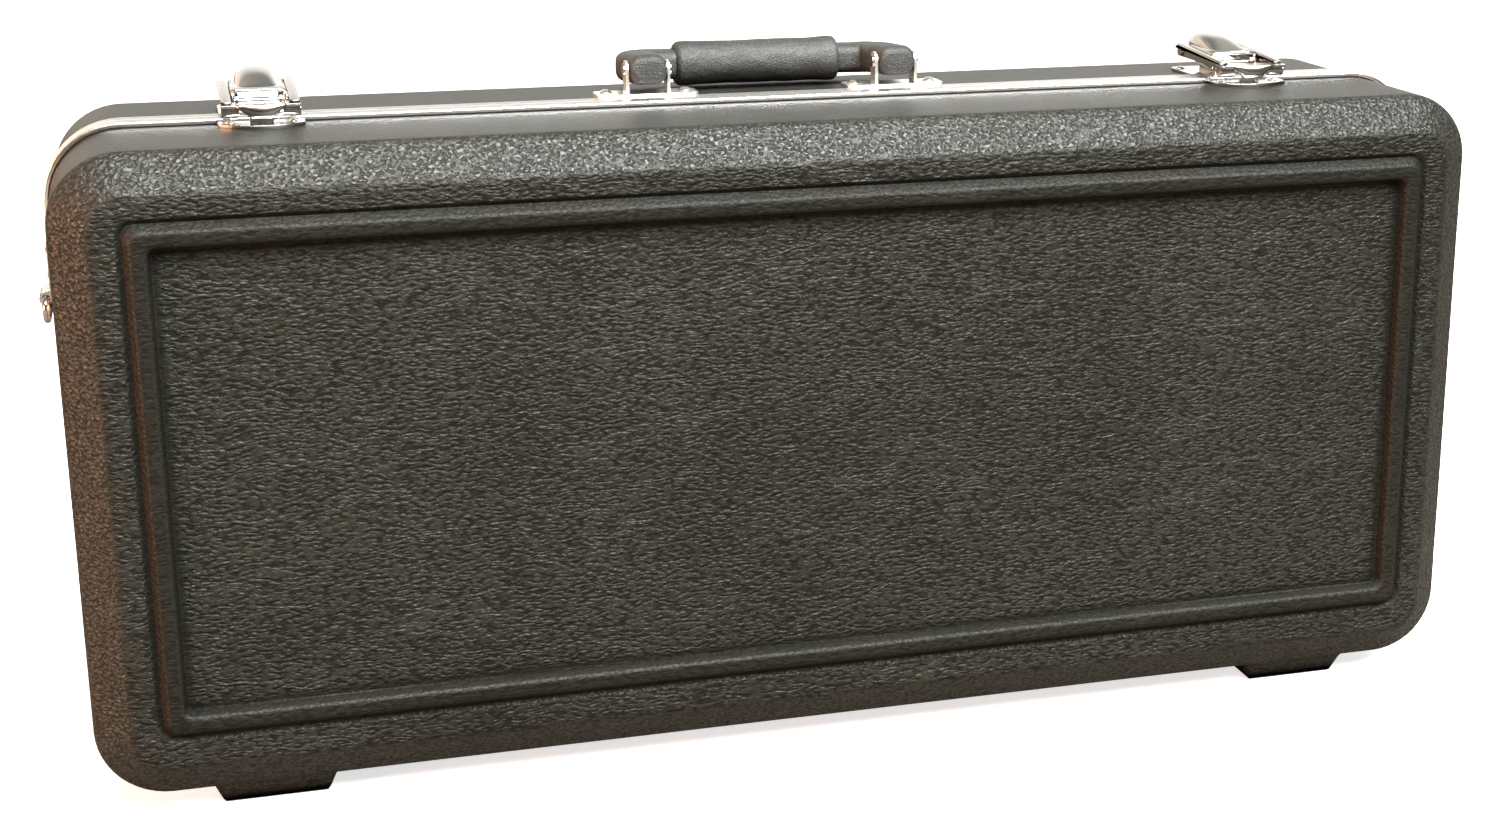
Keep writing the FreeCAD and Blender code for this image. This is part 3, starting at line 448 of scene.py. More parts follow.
def rounded_path(corners, steps_per_turn=6):
    """A 2D polyline whose corners, given as (u, v, radius), are rounded."""
    path = [Vector(corners[0][:2])]
    for before, here, after in zip(corners, corners[1:], corners[2:]):
        point = Vector(here[:2])
        back = Vector(before[:2]) - point
        ahead = Vector(after[:2]) - point
        turn = back.angle(ahead)
        reach = here[2] / math.tan(turn / 2)
        start = point + back.normalized() * reach
        end = point + ahead.normalized() * reach
        bisector = (back.normalized() + ahead.normalized()).normalized()
        centre = point + bisector * (here[2] / math.sin(turn / 2))
        first = start - centre
        last = end - centre
        sweep = first.angle_signed(last)
        for index in range(steps_per_turn + 1):
            angle = sweep * index / steps_per_turn
            path.append(centre + Matrix.Rotation(-angle, 2) @ first)
    path.append(Vector(corners[-1][:2]))
    return path


def side_fractions(half, coarse, centres=(), reach=0.0, fine=0.0):
    """Places from -1 to 1 along a side of the given half length, closer together near centres."""
    places = list(np.linspace(-half, half, int(round(2 * half / coarse)) + 1))
    for centre in centres:
        places = [place for place in places if abs(place - centre) > reach]
        places += list(np.linspace(centre - reach, centre + reach, int(round(2 * reach / fine)) + 1))
    return [place / half for place in sorted(places)]


# Fractions along each straight side of the shell's outline. The long side has extra columns at the feet.
flanks = [side * (FOOT_X + edge * FOOT_HALF) for side in (-1, 1) for edge in (-1, 1)]
LONG_FRACTIONS = side_fractions(LONG_STRAIGHT, 5 * MM, flanks, 7 * MM, 1 * MM)
SHORT_FRACTIONS = side_fractions(SHORT_STRAIGHT, 5 * MM)


def outline_ring(half_x, half_z, corner, y, rise=0.0):
    """A rounded rectangle in the plane y, about the case's middle, as points."""
    long_half = half_x - corner
    short_half = half_z - corner
    middle = MID_Z + rise
    sides = (
        [(f * long_half, -half_z) for f in LONG_FRACTIONS],
        [(half_x, f * short_half) for f in SHORT_FRACTIONS],
        [(-f * long_half, half_z) for f in LONG_FRACTIONS],
        [(-half_x, -f * short_half) for f in SHORT_FRACTIONS],
    )
    corners = ((1, -1, -90), (1, 1, 0), (-1, 1, 90), (-1, -1, 180))
    ring = []
    for side, (sx, sz, start) in zip(sides, corners):
        ring += [Vector((x, y, middle + z)) for x, z in side]
        for index in range(1, ARC_STEPS):
            angle = math.radians(start + 90 * index / ARC_STEPS)
            x = sx * long_half + corner * math.cos(angle)
            z = sz * short_half + corner * math.sin(angle)
            ring.append(Vector((x, y, middle + z)))
    return ring


# ---- shells ------------------------------------------------------------------------------------

# The outline at marked insets from the outer wall: (inset, half x, half z, corner, rise)
PANEL_INSET = HALF_LENGTH - PANEL_HALF_X
BEAD_INSET = PANEL_INSET - BEAD_WIDTH
CENTRE_INSET = PANEL_INSET + PANEL_EASE
STATIONS = (
    (0.0, HALF_LENGTH, HALF_HEIGHT, CORNER, 0.0),
    (BEVEL_IN, HALF_LENGTH - BEVEL_IN, HALF_HEIGHT - BEVEL_IN, CORNER - BEVEL_IN, 0.0),
    (BEAD_INSET, PANEL_HALF_X + BEAD_WIDTH, PANEL_HALF_Z + BEAD_WIDTH, 6 * MM, PANEL_RISE),
    (PANEL_INSET, PANEL_HALF_X, PANEL_HALF_Z, 3.5 * MM, PANEL_RISE),
    (CENTRE_INSET, PANEL_HALF_X - PANEL_EASE, PANEL_HALF_Z - PANEL_EASE, 0.0, PANEL_RISE),
)


def station_ring(inset, y, thinner=0.0):
    """The outline at an inset, found between the marked ones, at height y above the parting plane."""
    knots = [station[0] for station in STATIONS]
    values = [float(np.interp(inset, knots, [station[k] for station in STATIONS])) for k in range(1, 5)]
    half_x, half_z, corner, rise = values
    corner = max(corner - thinner, 0.0)
    return outline_ring(half_x - thinner, max(half_z - thinner, 0.0), corner, y, rise)


def shell_profile():
    """The formed sheet's section from the parting edge to the middle of the panel."""
    ridge_y = FACE_Y - BEVEL_DEEP
    trough = 1.4 * MM
    corners = [
        (0, RIM_Y, 0),
        (0, ridge_y, 6.5 * MM),
        (BEVEL_IN, FACE_Y, 9 * MM),
        (BEAD_INSET - 2.6 * MM, FACE_Y, 1.4 * MM),
        (BEAD_INSET - 0.4 * MM, FACE_Y - trough, 0.7 * MM),
        (BEAD_INSET + 2.9 * MM, CREST_Y, 2.8 * MM),
        (PANEL_INSET - 1.7 * MM, CREST_Y, 2.4 * MM),
        (PANEL_INSET, FACE_Y - PANEL_SINK, 0.9 * MM),
        (CENTRE_INSET, FACE_Y - PANEL_SINK, 0),
    ]
    path = rounded_path(corners)
    wall_rows = [3.2, 5, 7.5, 9.5, 11, 12, 13, 14, 15, 16, 17, 18, 20, 23, 28, 34, 40, 46, 52, 56]
    wall_rows += [58, 59, 60, 61]
    rows = [(0.0, y * MM) for y in wall_rows]
    rows += [tuple(point) for point in path[1:-1]]
    last = path[-2].x
    for share in (0.12, 0.3, 0.6, 1.0):
        rows.append((last + (CENTRE_INSET - last) * share, FACE_Y - PANEL_SINK))
    return rows


def foot_drop(x, y):
    """How far the sheet is pushed down at a foot: full on the sole, nothing outside."""
    best = 0.0
    for side in (-1, 1):
        dx = abs(x - side * FOOT_X) - FOOT_HALF
        dy = abs(abs(y) - (FOOT_Y0 + FOOT_Y1) / 2) - (FOOT_Y1 - FOOT_Y0) / 2
        round_r = 6 * MM
        outside = Vector((max(dx + round_r, 0.0), max(dy + round_r, 0.0))).length
        distance = round_r - outside - min(max(dx + round_r, dy + round_r), 0.0)
        t = min(max((distance + 1.0 * MM) / (6.5 * MM), 0.0), 1.0)
        best = max(best, t * t * (3 - 2 * t))
    return best * BOTTOM_Z


def formed_ripple(point, seed):
    """The slow waviness that a thin formed sheet has, in metres."""
    spot = Vector((point.x * 9, point.y * 9 + seed, point.z * 11))
    return noise.noise(spot) * 0.30 * MM + noise.noise(spot * 2.7) * 0.10 * MM


def formed_shell(name, body, side):
    """One half of the case as a formed sheet with an inner skin, so that it is closed."""
    rows = shell_profile()
    rings = []
    for inset, y in rows:
        ring = station_ring(inset, side * y)
        for point in ring:
            if point.z < BOTTOM_Z + 1 * MM and y < 69 * MM:
                point.z -= foot_drop(point.x, y)
            if 0 < inset < PANEL_INSET:
                point.y += side * min(formed_ripple(point, 3.0 * side) - 0.2 * MM, 0.0)
        rings.append(ring)
    inner = []
    for inset, y in rows[::-1]:
        inner_y = min(y, FACE_Y - 0.5 * MM) - WALL if inset > 0 else y
        inner_y = max(inner_y, RIM_Y)
        ring = station_ring(inset, side * inner_y, WALL if inset < PANEL_INSET - 2 * MM else 0.3 * MM)
        for point in ring:
            if point.z < BOTTOM_Z + WALL + 1 * MM and y < 69 * MM:
                point.z -= foot_drop(point.x, y) * 0.85
        inner.append(ring)
    outer_points, outer_faces = loft(rings, cap_last=True)
    inner_points, inner_faces = loft(inner, cap_first=True)
    shift = len(outer_points)
    faces = outer_faces + [tuple(index + shift for index in face) for face in inner_faces]
    count = len(rings[0])
    rim_row = shift + (len(inner) - 1) * count
    for column in range(count):
        after = (column + 1) % count
        faces.append((column, after, rim_row + after, rim_row + column))
    shell = make_object(name, outer_points + inner_points, faces, "shell_plastic", body)
    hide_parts(body + "_shell")


# ---- valance -----------------------------------------------------------------------------------


def valance_profile(with_tongue):
    """The extrusion's section as (outward, along y) points, with two round ribs and a lip."""
    proud = VALANCE_PROUD
    near = 0.05 * MM
    groove = 0.55 * MM
    outer = []
    ribs = ((near, 2.3 * MM), (2.95 * MM, 5.0 * MM), (5.65 * MM, VALANCE_HALF))
    for start, end in ribs:
        middle = (start + end) / 2
        half = (end - start) / 2
        for index in range(9):
            share = -1 + index / 4
            crown = math.sqrt(max(0.0, 1 - (share * 0.97) ** 2))
            outer.append((proud - groove + groove * (0.25 + 0.75 * crown), middle + half * share))
    outer += [(0.9 * MM, VALANCE_HALF), (0.0, VALANCE_HALF - 0.1 * MM), (0.0, 3.1 * MM), (-WALL, 3.1 * MM)]
    outer += [(-3.1 * MM, VALANCE_HALF), (-4.1 * MM, VALANCE_HALF), (-4.1 * MM, near)]
    if with_tongue:
        outer += [(-2.4 * MM, near), (-2.35 * MM, -1.2 * MM), (-1.3 * MM, -1.2 * MM), (-1.2 * MM, near)]
    else:
        outer += [(-2.9 * MM, near), (-2.9 * MM, 1.6 * MM), (-0.7 * MM, 1.6 * MM), (-0.7 * MM, near)]
    return outer


def valance(name, body, side):
    """One half of the bright extrusion round the parting edge."""
    rings = []
    for outward, y in valance_profile(body == "base"):
        ring = outline_ring(HALF_LENGTH + outward, HALF_HEIGHT + outward, CORNER + outward, side * y)
        rings.append(ring)
    points, faces = loft(rings, closed_profile=True)
    ring_object = make_object(name, points, faces, "valance_metal", body)
    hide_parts(body + "_valance")


# ---- handle ------------------------------------------------------------------------------------


def rounded_section(half_wide, half_thick, corner, per_corner=7):
    """Points (across, up) round a rounded rectangle."""
    section = []
    for su, sv, start in ((1, 1, 0), (-1, 1, 90), (-1, -1, 180), (1, -1, 270)):
        for index in range(per_corner):
            angle = math.radians(start + 90 * index / (per_corner - 1))
            across = su * (half_wide - corner) + corner * math.cos(angle)
            section.append((across, sv * (half_thick - corner) + corner * math.sin(angle)))
    return section


def leather_wrinkle(point, strength=1.0):
    """How far the leather stands off its form at a point: soft dents and pulled folds."""
    soft = noise.noise(point * 95.0) * 0.22 * MM
    folds = noise.noise(Vector((point.x * 150, point.y * 420, point.z * 420))) * 0.16 * MM
    fine = noise.noise(point * 800.0) * 0.05 * MM
    return (soft + folds + fine) * strength


def wrinkled(rings, centres, strength=1.0):
    """The rings with every point moved out from its ring's centre by the leather's wrinkles."""
    for ring, centre in zip(rings, centres):
        for point in ring:
            outward = point - centre
            if outward.length > 1 * MM:
                point += outward.normalized() * leather_wrinkle(point, strength)
    return rings


pin_low, pin_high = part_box("handle_pins")
grip_low, grip_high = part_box("handle_grip")
cover_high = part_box("handle_cover")[1]
PIN_Y = (pin_low.y + pin_high.y) / 2
PIN_Z = (pin_low.z + pin_high.z) / 2
GRIP_Y = (grip_low.y + grip_high.y) / 2
GRIP_Z = (grip_low.z + grip_high.z) / 2
GRIP_R = (grip_high.z - grip_low.z) / 2
GRIP_HALF = grip_high.x
STRAP_HALF = 8.4 * MM
STRAP_HALF_THICK = 6.8 * MM
ARM_X = cover_high.x - STRAP_HALF


def strap_path(side):
    """The strap's centre line: from the front of the pin, back, round the corner and into the grip."""
    turn = 9.8 * MM
    slope = (GRIP_Z - PIN_Z) / (GRIP_Y - PIN_Y)
    spots = []
    front = PIN_Y - STRAP_HALF_THICK
    for index in range(9):
        share = 1 - math.cos(math.pi / 2 * index / 8)
        spots.append((ARM_X, front + STRAP_HALF_THICK * share))
    straight_end = GRIP_Y - turn
    for index in range(1, 15):
        spots.append((ARM_X, PIN_Y + (straight_end - PIN_Y) * index / 14))
    for index in range(1, 13):
        angle = math.pi / 2 * index / 12
        spots.append((ARM_X - turn + turn * math.cos(angle), straight_end + turn * math.sin(angle)))
    inner = GRIP_HALF - 6 * MM
    for index in range(1, 13):
        spots.append((ARM_X - turn + (inner - ARM_X + turn) * index / 12, GRIP_Y))
    return [Vector((side * x, y, PIN_Z + (y - PIN_Y) * slope)) for x, y in spots]


def handle_strap(name, side):
    """One end of the handle: a padded leather strap with a round nose, folded round a steel bail."""
    path = strap_path(side)
    rings = []
    for index, centre in enumerate(path):
        before = path[max(index - 1, 0)]
        after = path[min(index + 1, len(path) - 1)]
        along = (after - before).normalized()
        across = along.cross(Vector((0, 0, 1))).normalized()
        up = across.cross(along).normalized()
        thick = STRAP_HALF_THICK
        ahead = PIN_Y - centre.y
        wide = STRAP_HALF
        if ahead > 0:
            nose = min(ahead / STRAP_HALF_THICK, 1.0)
            thick *= 0.42 + 0.58 * (1 - nose ** 3.2) ** (1 / 2.4)
            wide *= 0.80 + 0.20 * (1 - nose ** 5) ** (1 / 2.4)
        wide += 1.3 * MM * min(max((centre.y - PIN_Y - 5 * MM) / (8 * MM), 0.0), 1.0)
        inward = max(abs(path[0].x) - abs(centre.x), 0.0) / (ARM_X - GRIP_HALF)
        wide *= 1 - 0.24 * min(inward, 1.0)
        corner = min(4.6 * MM, thick * 0.98)
        section = rounded_section(wide, thick, corner)
        rings.append([centre + across * u + up * v for u, v in section])
    rings = wrinkled(rings, path, 0.9)
    points, faces = loft(rings, cap_first=True, cap_last=True)
    return make_object(name, points, faces, "handle_leather", "handle")


def grip_radius(x):
    """The grip's radius along its length: rounded ends, a slight waist and a fuller collar at each end."""
    from_end = GRIP_HALF - abs(x)
    edge = min(from_end / (2.6 * MM), 1.0)
    edge_drop = 2.4 * MM * (1 - math.sqrt(max(1 - (1 - edge) ** 2, 0.0)))
    collar = 0.35 * MM * math.exp(-((from_end - 5 * MM) / (5 * MM)) ** 2)
    return GRIP_R - 0.1 * MM - edge_drop + collar


def handle_sleeve():
    """The padded grip, sewn shut along its underside."""
    count = 72
    stations = [-GRIP_HALF + 2.8 * MM * (1 - math.cos(math.pi / 2 * i / 7)) for i in range(8)]
    stations += list(np.linspace(-GRIP_HALF + 4 * MM, GRIP_HALF - 4 * MM, 60))
    stations += [-x for x in stations[:8]][::-1]
    rings = []
    centres = []
    for x in [stations[0]] + stations + [stations[-1]]:
        hollow = 5.6 * MM if not rings or len(rings) == len(stations) + 1 else 0.0
        centre = Vector((x, GRIP_Y, GRIP_Z))
        radius = hollow or grip_radius(x)
        ring = []
        for index in range(count):
            angle = 2 * math.pi * index / count
            seam = abs(math.remainder(angle + math.pi / 2, 2 * math.pi))
            pinch = 0.0 if hollow else 0.8 * MM * math.exp(-(seam / 0.09) ** 2)
            reach = radius - pinch
            ring.append(centre + Vector((0, math.cos(angle) * reach, math.sin(angle) * reach)))
        rings.append(ring)
        centres.append(centre)
    rings = wrinkled(rings, centres, 1.1)
    points, faces = loft(rings, cap_first=True, cap_last=True)
    sleeve = make_object("handle_sleeve", points, faces, "handle_leather", "handle")
    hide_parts("handle_grip")


def leather_handle():
    """Both straps, which together stand for the CAD cover, and the grip between them."""
    left = handle_strap("handle_strap_left", -1)
    handle_strap("handle_strap_right", 1)
    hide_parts("handle_cover")
    handle_sleeve()


# ---- pressed metal -----------------------------------------------------------------------------


def shrunk(outline, amount):
    """A closed (y, z) outline with every side moved inwards."""
    area = sum(a[0] * b[1] - b[0] * a[1] for a, b in zip(outline, outline[1:] + outline[:1]))
    turn = 1 if area > 0 else -1
    inner = []
    for before, here, after in zip(outline[-1:] + outline[:-1], outline, outline[1:] + outline[:1]):
        first = (Vector(here) - Vector(before)).normalized()
        second = (Vector(after) - Vector(here)).normalized()
        inward = Vector((-first.y - second.y, first.x + second.x)) * turn
        reach = amount / max(1 + first.dot(second), 0.5)
        inner.append(tuple(Vector(here) + inward * reach))
    return inner


lever_pin_low, lever_pin_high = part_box("latch_lever_pin_left")
LEVER_PIN = (lever_pin_low + lever_pin_high) / 2
PLATE_THICK = 1.4
HOOD_BASE = 4.4
CURL_Y = -1.7
CURL_Z = 4.6
CURL_R = 0.9
CURL_HALF = 10.6
SHIELD_FRONT = -24.9
SHIELD_BACK = -23.9


def off_pin(x, y, z):
    """A point at x, in metres, that is y and z millimetres from the lever's pin."""
    return Vector((x, LEVER_PIN.y + y * MM, LEVER_PIN.z + z * MM))


def pressed_plate(name, body, outline, x, start, wide, ease=0.3):
    """Sheet metal cut to an outline, in millimetres from the lever's pin, with its corners eased.

    The plate starts at start and is wide millimetres wide, counted from the latch's middle at x."""
    corners = [(y, z, 0.8) for y, z in outline]
    rounded = rounded_path([corners[-1]] + corners + [corners[0]], steps_per_turn=3)[1:-1]
    full = [tuple(point) for point in rounded]
    small = shrunk(full, ease)
    end = start + wide
    rings = []
    for across, loop in ((start, small), (start + ease, full), (end - ease, full), (end, small)):
        rings.append([off_pin(x + across * MM, y, z) for y, z in loop])
    points, faces = loft(rings, cap_first=True, cap_last=True)
    plate = make_object(name, points, faces, "plated_steel", body)
    plate.data.set_sharp_from_angle(angle=math.radians(50))
    return plate


def arch_ring(x, y, half, rise, power=2.7, steps=20):
    """A flat-bottomed arch across the latch, in millimetres from the pin."""
    ring = []
    for index in range(steps + 1):
        share = -math.cos(math.pi * index / steps)
        height = rise * max(1 - abs(share) ** power, 0.0) ** (1 / power)
        ring.append(off_pin(x + share * half * MM, y, HOOD_BASE + height))
    for index in range(1, steps):
        share = math.cos(math.pi * index / steps)
        ring.append(off_pin(x + share * half * MM, y, HOOD_BASE))
    return ring


def lever_hood(name, body, x):
    """The thumb tab: a pressed hood that rises and rounds over towards the back."""
    # (y from the pin, half width, rise) in millimetres
    stations = (
        (0.5, 8.6, 0.5),
        (2.0, 9.0, 1.3),
        (4.0, 9.15, 2.0),
        (7.5, 9.2, 3.2),
        (11.5, 9.25, 4.5),
        (16.0, 9.3, 5.7),
        (21.0, 9.3, 6.6),
        (26.0, 9.2, 7.0),
        (30.0, 9.0, 6.9),
        (33.0, 8.5, 6.2),
        (35.0, 7.6, 4.9),
        (36.2, 6.4, 3.2),
        (36.6, 5.4, 1.6),
    )
    rings = [arch_ring(x, y, half, rise) for y, half, rise in stations]
    points, faces = loft(rings, cap_first=True, cap_last=True)
    make_object(name, points, faces, "plated_steel", body)


def curled_front(name, body, x):
    """The lever plate's front edge, rolled under across its whole width."""
    # Fractions of the half width, each with the roll's radius there as a fraction
    half_row = ((0.0, 1.0), (0.3, 1.0), (0.6, 1.0), (0.9, 1.0), (0.97, 0.85), (1.0, 0.45))
    row = [(-share, size) for share, size in half_row[:0:-1]] + list(half_row)
    rings = []
    for share, size in row:
        ring = []
        for index in range(14):
            angle = 2 * math.pi * index / 14
            y = CURL_Y + CURL_R * size * math.cos(angle)
            z = CURL_Z + CURL_R * size * math.sin(angle)
            ring.append(off_pin(x + share * CURL_HALF * MM, y, z))
        rings.append(ring)
    points, faces = loft(rings, cap_first=True, cap_last=True)
    make_object(name, points, faces, "plated_steel", body)


def claw_shield(name, body, x):
    """The claw's front: a bowed shield, wide above and narrow at its toe."""
    # (z from the pin, half width, bow) in millimetres
    rows = (
        (1.9, 10.4, 0.0),
        (1.4, 10.6, 0.5),
        (0.2, 9.6, 1.0),
        (-1.2, 7.6, 1.25),
        (-2.6, 5.8, 1.2),
        (-3.9, 4.9, 0.7),
        (-4.4, 4.5, 0.1),
    )
    rings = []
    for z, half, bow in rows:
        front = []
        back = []
        for index in range(13):
            share = -1 + index / 6
            across = x + share * half * MM
            front.append(off_pin(across, SHIELD_FRONT - bow * (1 - 0.75 * share * share), z))
            back.append(off_pin(across, SHIELD_BACK, z))
        rings.append(front + back[::-1])
    points, faces = loft(rings, cap_first=True, cap_last=True)
    make_object(name, points, faces, "plated_steel", body)


def lever_plates(side_name, body, x):
    """The lever's two side plates and its top plate, and the claw's two wings beside them."""
    cheek = [(-0.4, -3.4), (7, -2.8), (29, -0.2), (32, 2), (31, 5.4), (7, 5.6)]
    cheek += [(-2, 5.1), (-3.4, 0), (-2.6, -2.4)]
    top = [(-2.5, 3.7), (-2.5, 5.1), (4, 5.7), (26, 5.7), (26, 4.2), (4, 4.2)]
    wing = [(-21.5, 1.7), (28, 5.3), (31, 3.8), (31.8, 4.8), (28.6, 6.5), (-21.5, 2.9)]
    for end, start in (("a", -11.7), ("b", 10.3)):
        name = "latch_side_" + side_name + "_" + end
        pressed_plate(name, body, cheek, x, start, PLATE_THICK, 0.35)
    pressed_plate("latch_top_" + side_name, body, top, x, -11.4, 22.8)
    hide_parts("latch_lever_" + side_name)
    for end, start in (("a", -16.5), ("b", 12.1)):
        name = "latch_wing_" + side_name + "_" + end
        pressed_plate(name, "claw_" + side_name, wing, x, start, 4.4)


def latch_metal(side_name):
    """The sculpted parts of one latch: lever plates, pressed hood, rolled edge and bowed shield."""
    low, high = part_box("latch_lever_" + side_name)
    x = (low.x + high.x) / 2
    lever = "lever_" + side_name
    lever_plates(side_name, lever, x)
    lever_hood("latch_hood_" + side_name, lever, x)
    curled_front("latch_curl_" + side_name, lever, x)
    claw_shield("latch_shield_" + side_name, "claw_" + side_name, x)


# ---- soft goods --------------------------------------------------------------------------------


def copied_mesh(node):
    """A new mesh with a CAD node's shape in the row frame, its flat areas merged into single faces."""
    source = frame["nodes"][node]
    mesh = source.data.copy()
    mesh.transform(source.matrix_world)
    work = bmesh.new()
    work.from_mesh(mesh)
    bmesh.ops.remove_doubles(work, verts=work.verts, dist=0.003 * MM)
    bmesh.ops.dissolve_limit(work, angle_limit=math.radians(1.2), verts=work.verts, edges=work.edges)
    return mesh, work


def remeshed(node, voxel):
    """A closed, even skin of quads over a CAD node's shape."""
    mesh, work = copied_mesh(node)
    work.to_mesh(mesh)
    work.free()
    obj = bpy.data.objects.new(node + "_skin", mesh)
    bpy.context.scene.collection.objects.link(obj)
    skin = obj.modifiers.new("skin", "REMESH")
    skin.mode = "VOXEL"
    skin.voxel_size = voxel
    apply_modifiers(obj)
    return obj


def apply_modifiers(obj):
    """Replaces an object's mesh by what its modifiers make of it."""
    evaluated = obj.evaluated_get(bpy.context.evaluated_depsgraph_get())
    baked = bpy.data.meshes.new_from_object(evaluated)
    obj.modifiers.clear()
    obj.data = baked


def relax(obj, factor, repeats):
    """Rounds a skin's corners off."""
    smooth = obj.modifiers.new("smooth", "SMOOTH")
    smooth.factor = factor
    smooth.iterations = repeats
    apply_modifiers(obj)


def dress_soft(obj, name, slot, body, node):
    """Gives a skin its name, material and body, in place of its CAD node."""
    obj.name = name
    obj.data.name = name
    obj.data.materials.clear()
    obj.data.materials.append(MATERIALS[slot])
    obj.data.polygons.foreach_set("use_smooth", [True] * len(obj.data.polygons))
    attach(obj, body)
    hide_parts(node)


def plush_insert():
    """The insert's foam under plush: rounded rims and a slightly uneven nap."""
    obj = remeshed("base_insert", 3.6 * MM)
    relax(obj, 0.5, 6)
    low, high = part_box("base_insert")
    normals = [vertex.normal.copy() for vertex in obj.data.vertices]
    moved = []
    for vertex, normal in zip(obj.data.vertices, normals):
        place = vertex.co.copy()
        lift = noise.noise(place * 34.0) * 0.5 * MM + noise.noise(place * 120.0) * 0.18 * MM
        if place.y < high.y - 14 * MM:
            place += normal * (lift - 0.2 * MM)
        moved += [place.x, max(place.y, low.y), place.z]
    obj.data.vertices.foreach_set("co", moved)
    obj.data.update()
    dress_soft(obj, "insert_plush", "plush", "base", "base_insert")


def padded(node, name, body, slot, hard_y, face_sign, limit):
    """A cushion: its skin is blown up by cloth simulation, held at its back and kept within a limit."""
    obj = remeshed(node, 5 * MM)
    relax(obj, 0.5, 3)
    held = obj.vertex_groups.new(name="held")
    rest = [vertex.co.copy() for vertex in obj.data.vertices]
    held.add([v.index for v in obj.data.vertices if (v.co.y - hard_y) * face_sign < 4 * MM], 1.0, "REPLACE")
    cloth = obj.modifiers.new("cloth", "CLOTH")
    settings = cloth.settings
    settings.quality = 6
    settings.mass = 0.25
    settings.tension_stiffness = 18
    settings.compression_stiffness = 18
    settings.bending_stiffness = 0.6
    settings.shrink_min = -0.035
    settings.use_pressure = True
    settings.uniform_pressure_force = 4.0
    settings.effector_weights.gravity = 0.0
    settings.vertex_group_mass = "held"
    cloth.collision_settings.use_self_collision = False
    cloth.point_cache.frame_start = 1
    cloth.point_cache.frame_end = 20
    for number in range(1, 21):
        bpy.context.scene.frame_set(number)
    apply_modifiers(obj)
    bpy.context.scene.frame_set(1)
    for vertex, before in zip(obj.data.vertices, rest):
        step = vertex.co - before
        if step.length > limit:
            vertex.co = before + step.normalized() * limit
    finer = obj.modifiers.new("finer", "SUBSURF")
    finer.levels = 1
    finer.render_levels = 1
    apply_modifiers(obj)
    dress_soft(obj, name, slot, body, node)


def ribbon_loop():
    """A ribbon folded into a flat loop that stands a little off the compartment's board."""
    low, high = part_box("compartment_tab")
    middle = Vector((0, (low.y + high.y) / 2 - 0.9 * MM, (low.z + high.z) / 2))
    half_tall = (high.z - low.z) / 2
    outer_path = []
    inner_path = []
    for index in range(28):
        turn = 2 * math.pi * index / 28
        belly = 1.5 * MM * (1.0 + 0.35 * math.cos(turn))
        out = -math.sin(turn) * belly
        outer_path.append(middle + Vector((0, out, half_tall * math.cos(turn))))
        inner_path.append(middle + Vector((0, out * 0.6, (half_tall - 0.5 * MM) * math.cos(turn))))
    across = np.linspace(low.x, high.x, 9)
    rings = [[Vector((x, point.y, point.z)) for point in outer_path] for x in across]
    rings += [[Vector((x, point.y, point.z)) for point in inner_path] for x in across[::-1]]
    points, faces = loft(rings, closed_profile=True)
    loop = make_object("compartment_ribbon", points, faces, "ribbon", "compartment")
    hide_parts("compartment_tab")


def covered_board(node, name, slot, body, corner, crown):
    """A board wrapped in fabric: rolled edges, and a face that is lightly padded towards -Y."""
    low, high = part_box(node)
    middle = (low + high) / 2
    half = (high - low) / 2
    rows = []
    for index in range(9):
        angle = math.pi * index / 8
        rows.append((half.y * (1 - math.sin(angle)), half.y * math.cos(angle)))
    rows = [(14 * MM, half.y), (6 * MM, half.y)] + rows
    for inset, share in ((3.5, 0.35), (7, 0.65), (12, 0.9), (20, 1.0)):
        rows.append((inset * MM, -half.y - crown * share))
    rings = []
    for inset, y in rows:
        section = rounded_section(half.x - inset, half.z - inset, max(corner - inset, 0.4 * MM), 9)
        rings.append([Vector((middle.x + u, middle.y + y, middle.z + v)) for u, v in section])
    points, faces = loft(rings, cap_first=True, cap_last=True)
    board = make_object(name, points, faces, slot, body)
    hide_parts(node)


def plush_rest():
    """The neck rest: a foam saddle under plush."""
    obj = remeshed("neck_rest", 1.8 * MM)
    relax(obj, 0.5, 8)
    dress_soft(obj, "neck_rest_plush", "plush", "base", "neck_rest")


def soft_goods():
    """The fitted inside, the lid's padding and the compartment's covered board."""
    pad_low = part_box("lid_pad_body")[0]
    floor_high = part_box("cavity_floor_pad")[1]
    plush_insert()
    plush_rest()
    padded("lid_pad_body", "lid_cushion_body", "lid", "plush", pad_low.y, 1, 3.0 * MM)
    padded("lid_pad_head", "lid_cushion_head", "lid", "plush", pad_low.y, 1, 2.5 * MM)
    padded("cavity_floor_pad", "floor_cushion", "base", "plush", floor_high.y, -1, 1.2 * MM)
    covered_board("lid_lining", "lid_lining_board", "lining", "lid", 12 * MM, 0.0)
    covered_board("compartment_lid", "compartment_board", "lining", "compartment", 2 * MM, 0.5 * MM)
    ribbon_loop()


# ---- stage -------------------------------------------------------------------------------------


def seen_by_camera(tree):
    """1 for what the camera sees directly, 0 for light that bounces on to the case."""
    return tree.nodes.new("ShaderNodeLightPath").outputs["Is Camera Ray"]


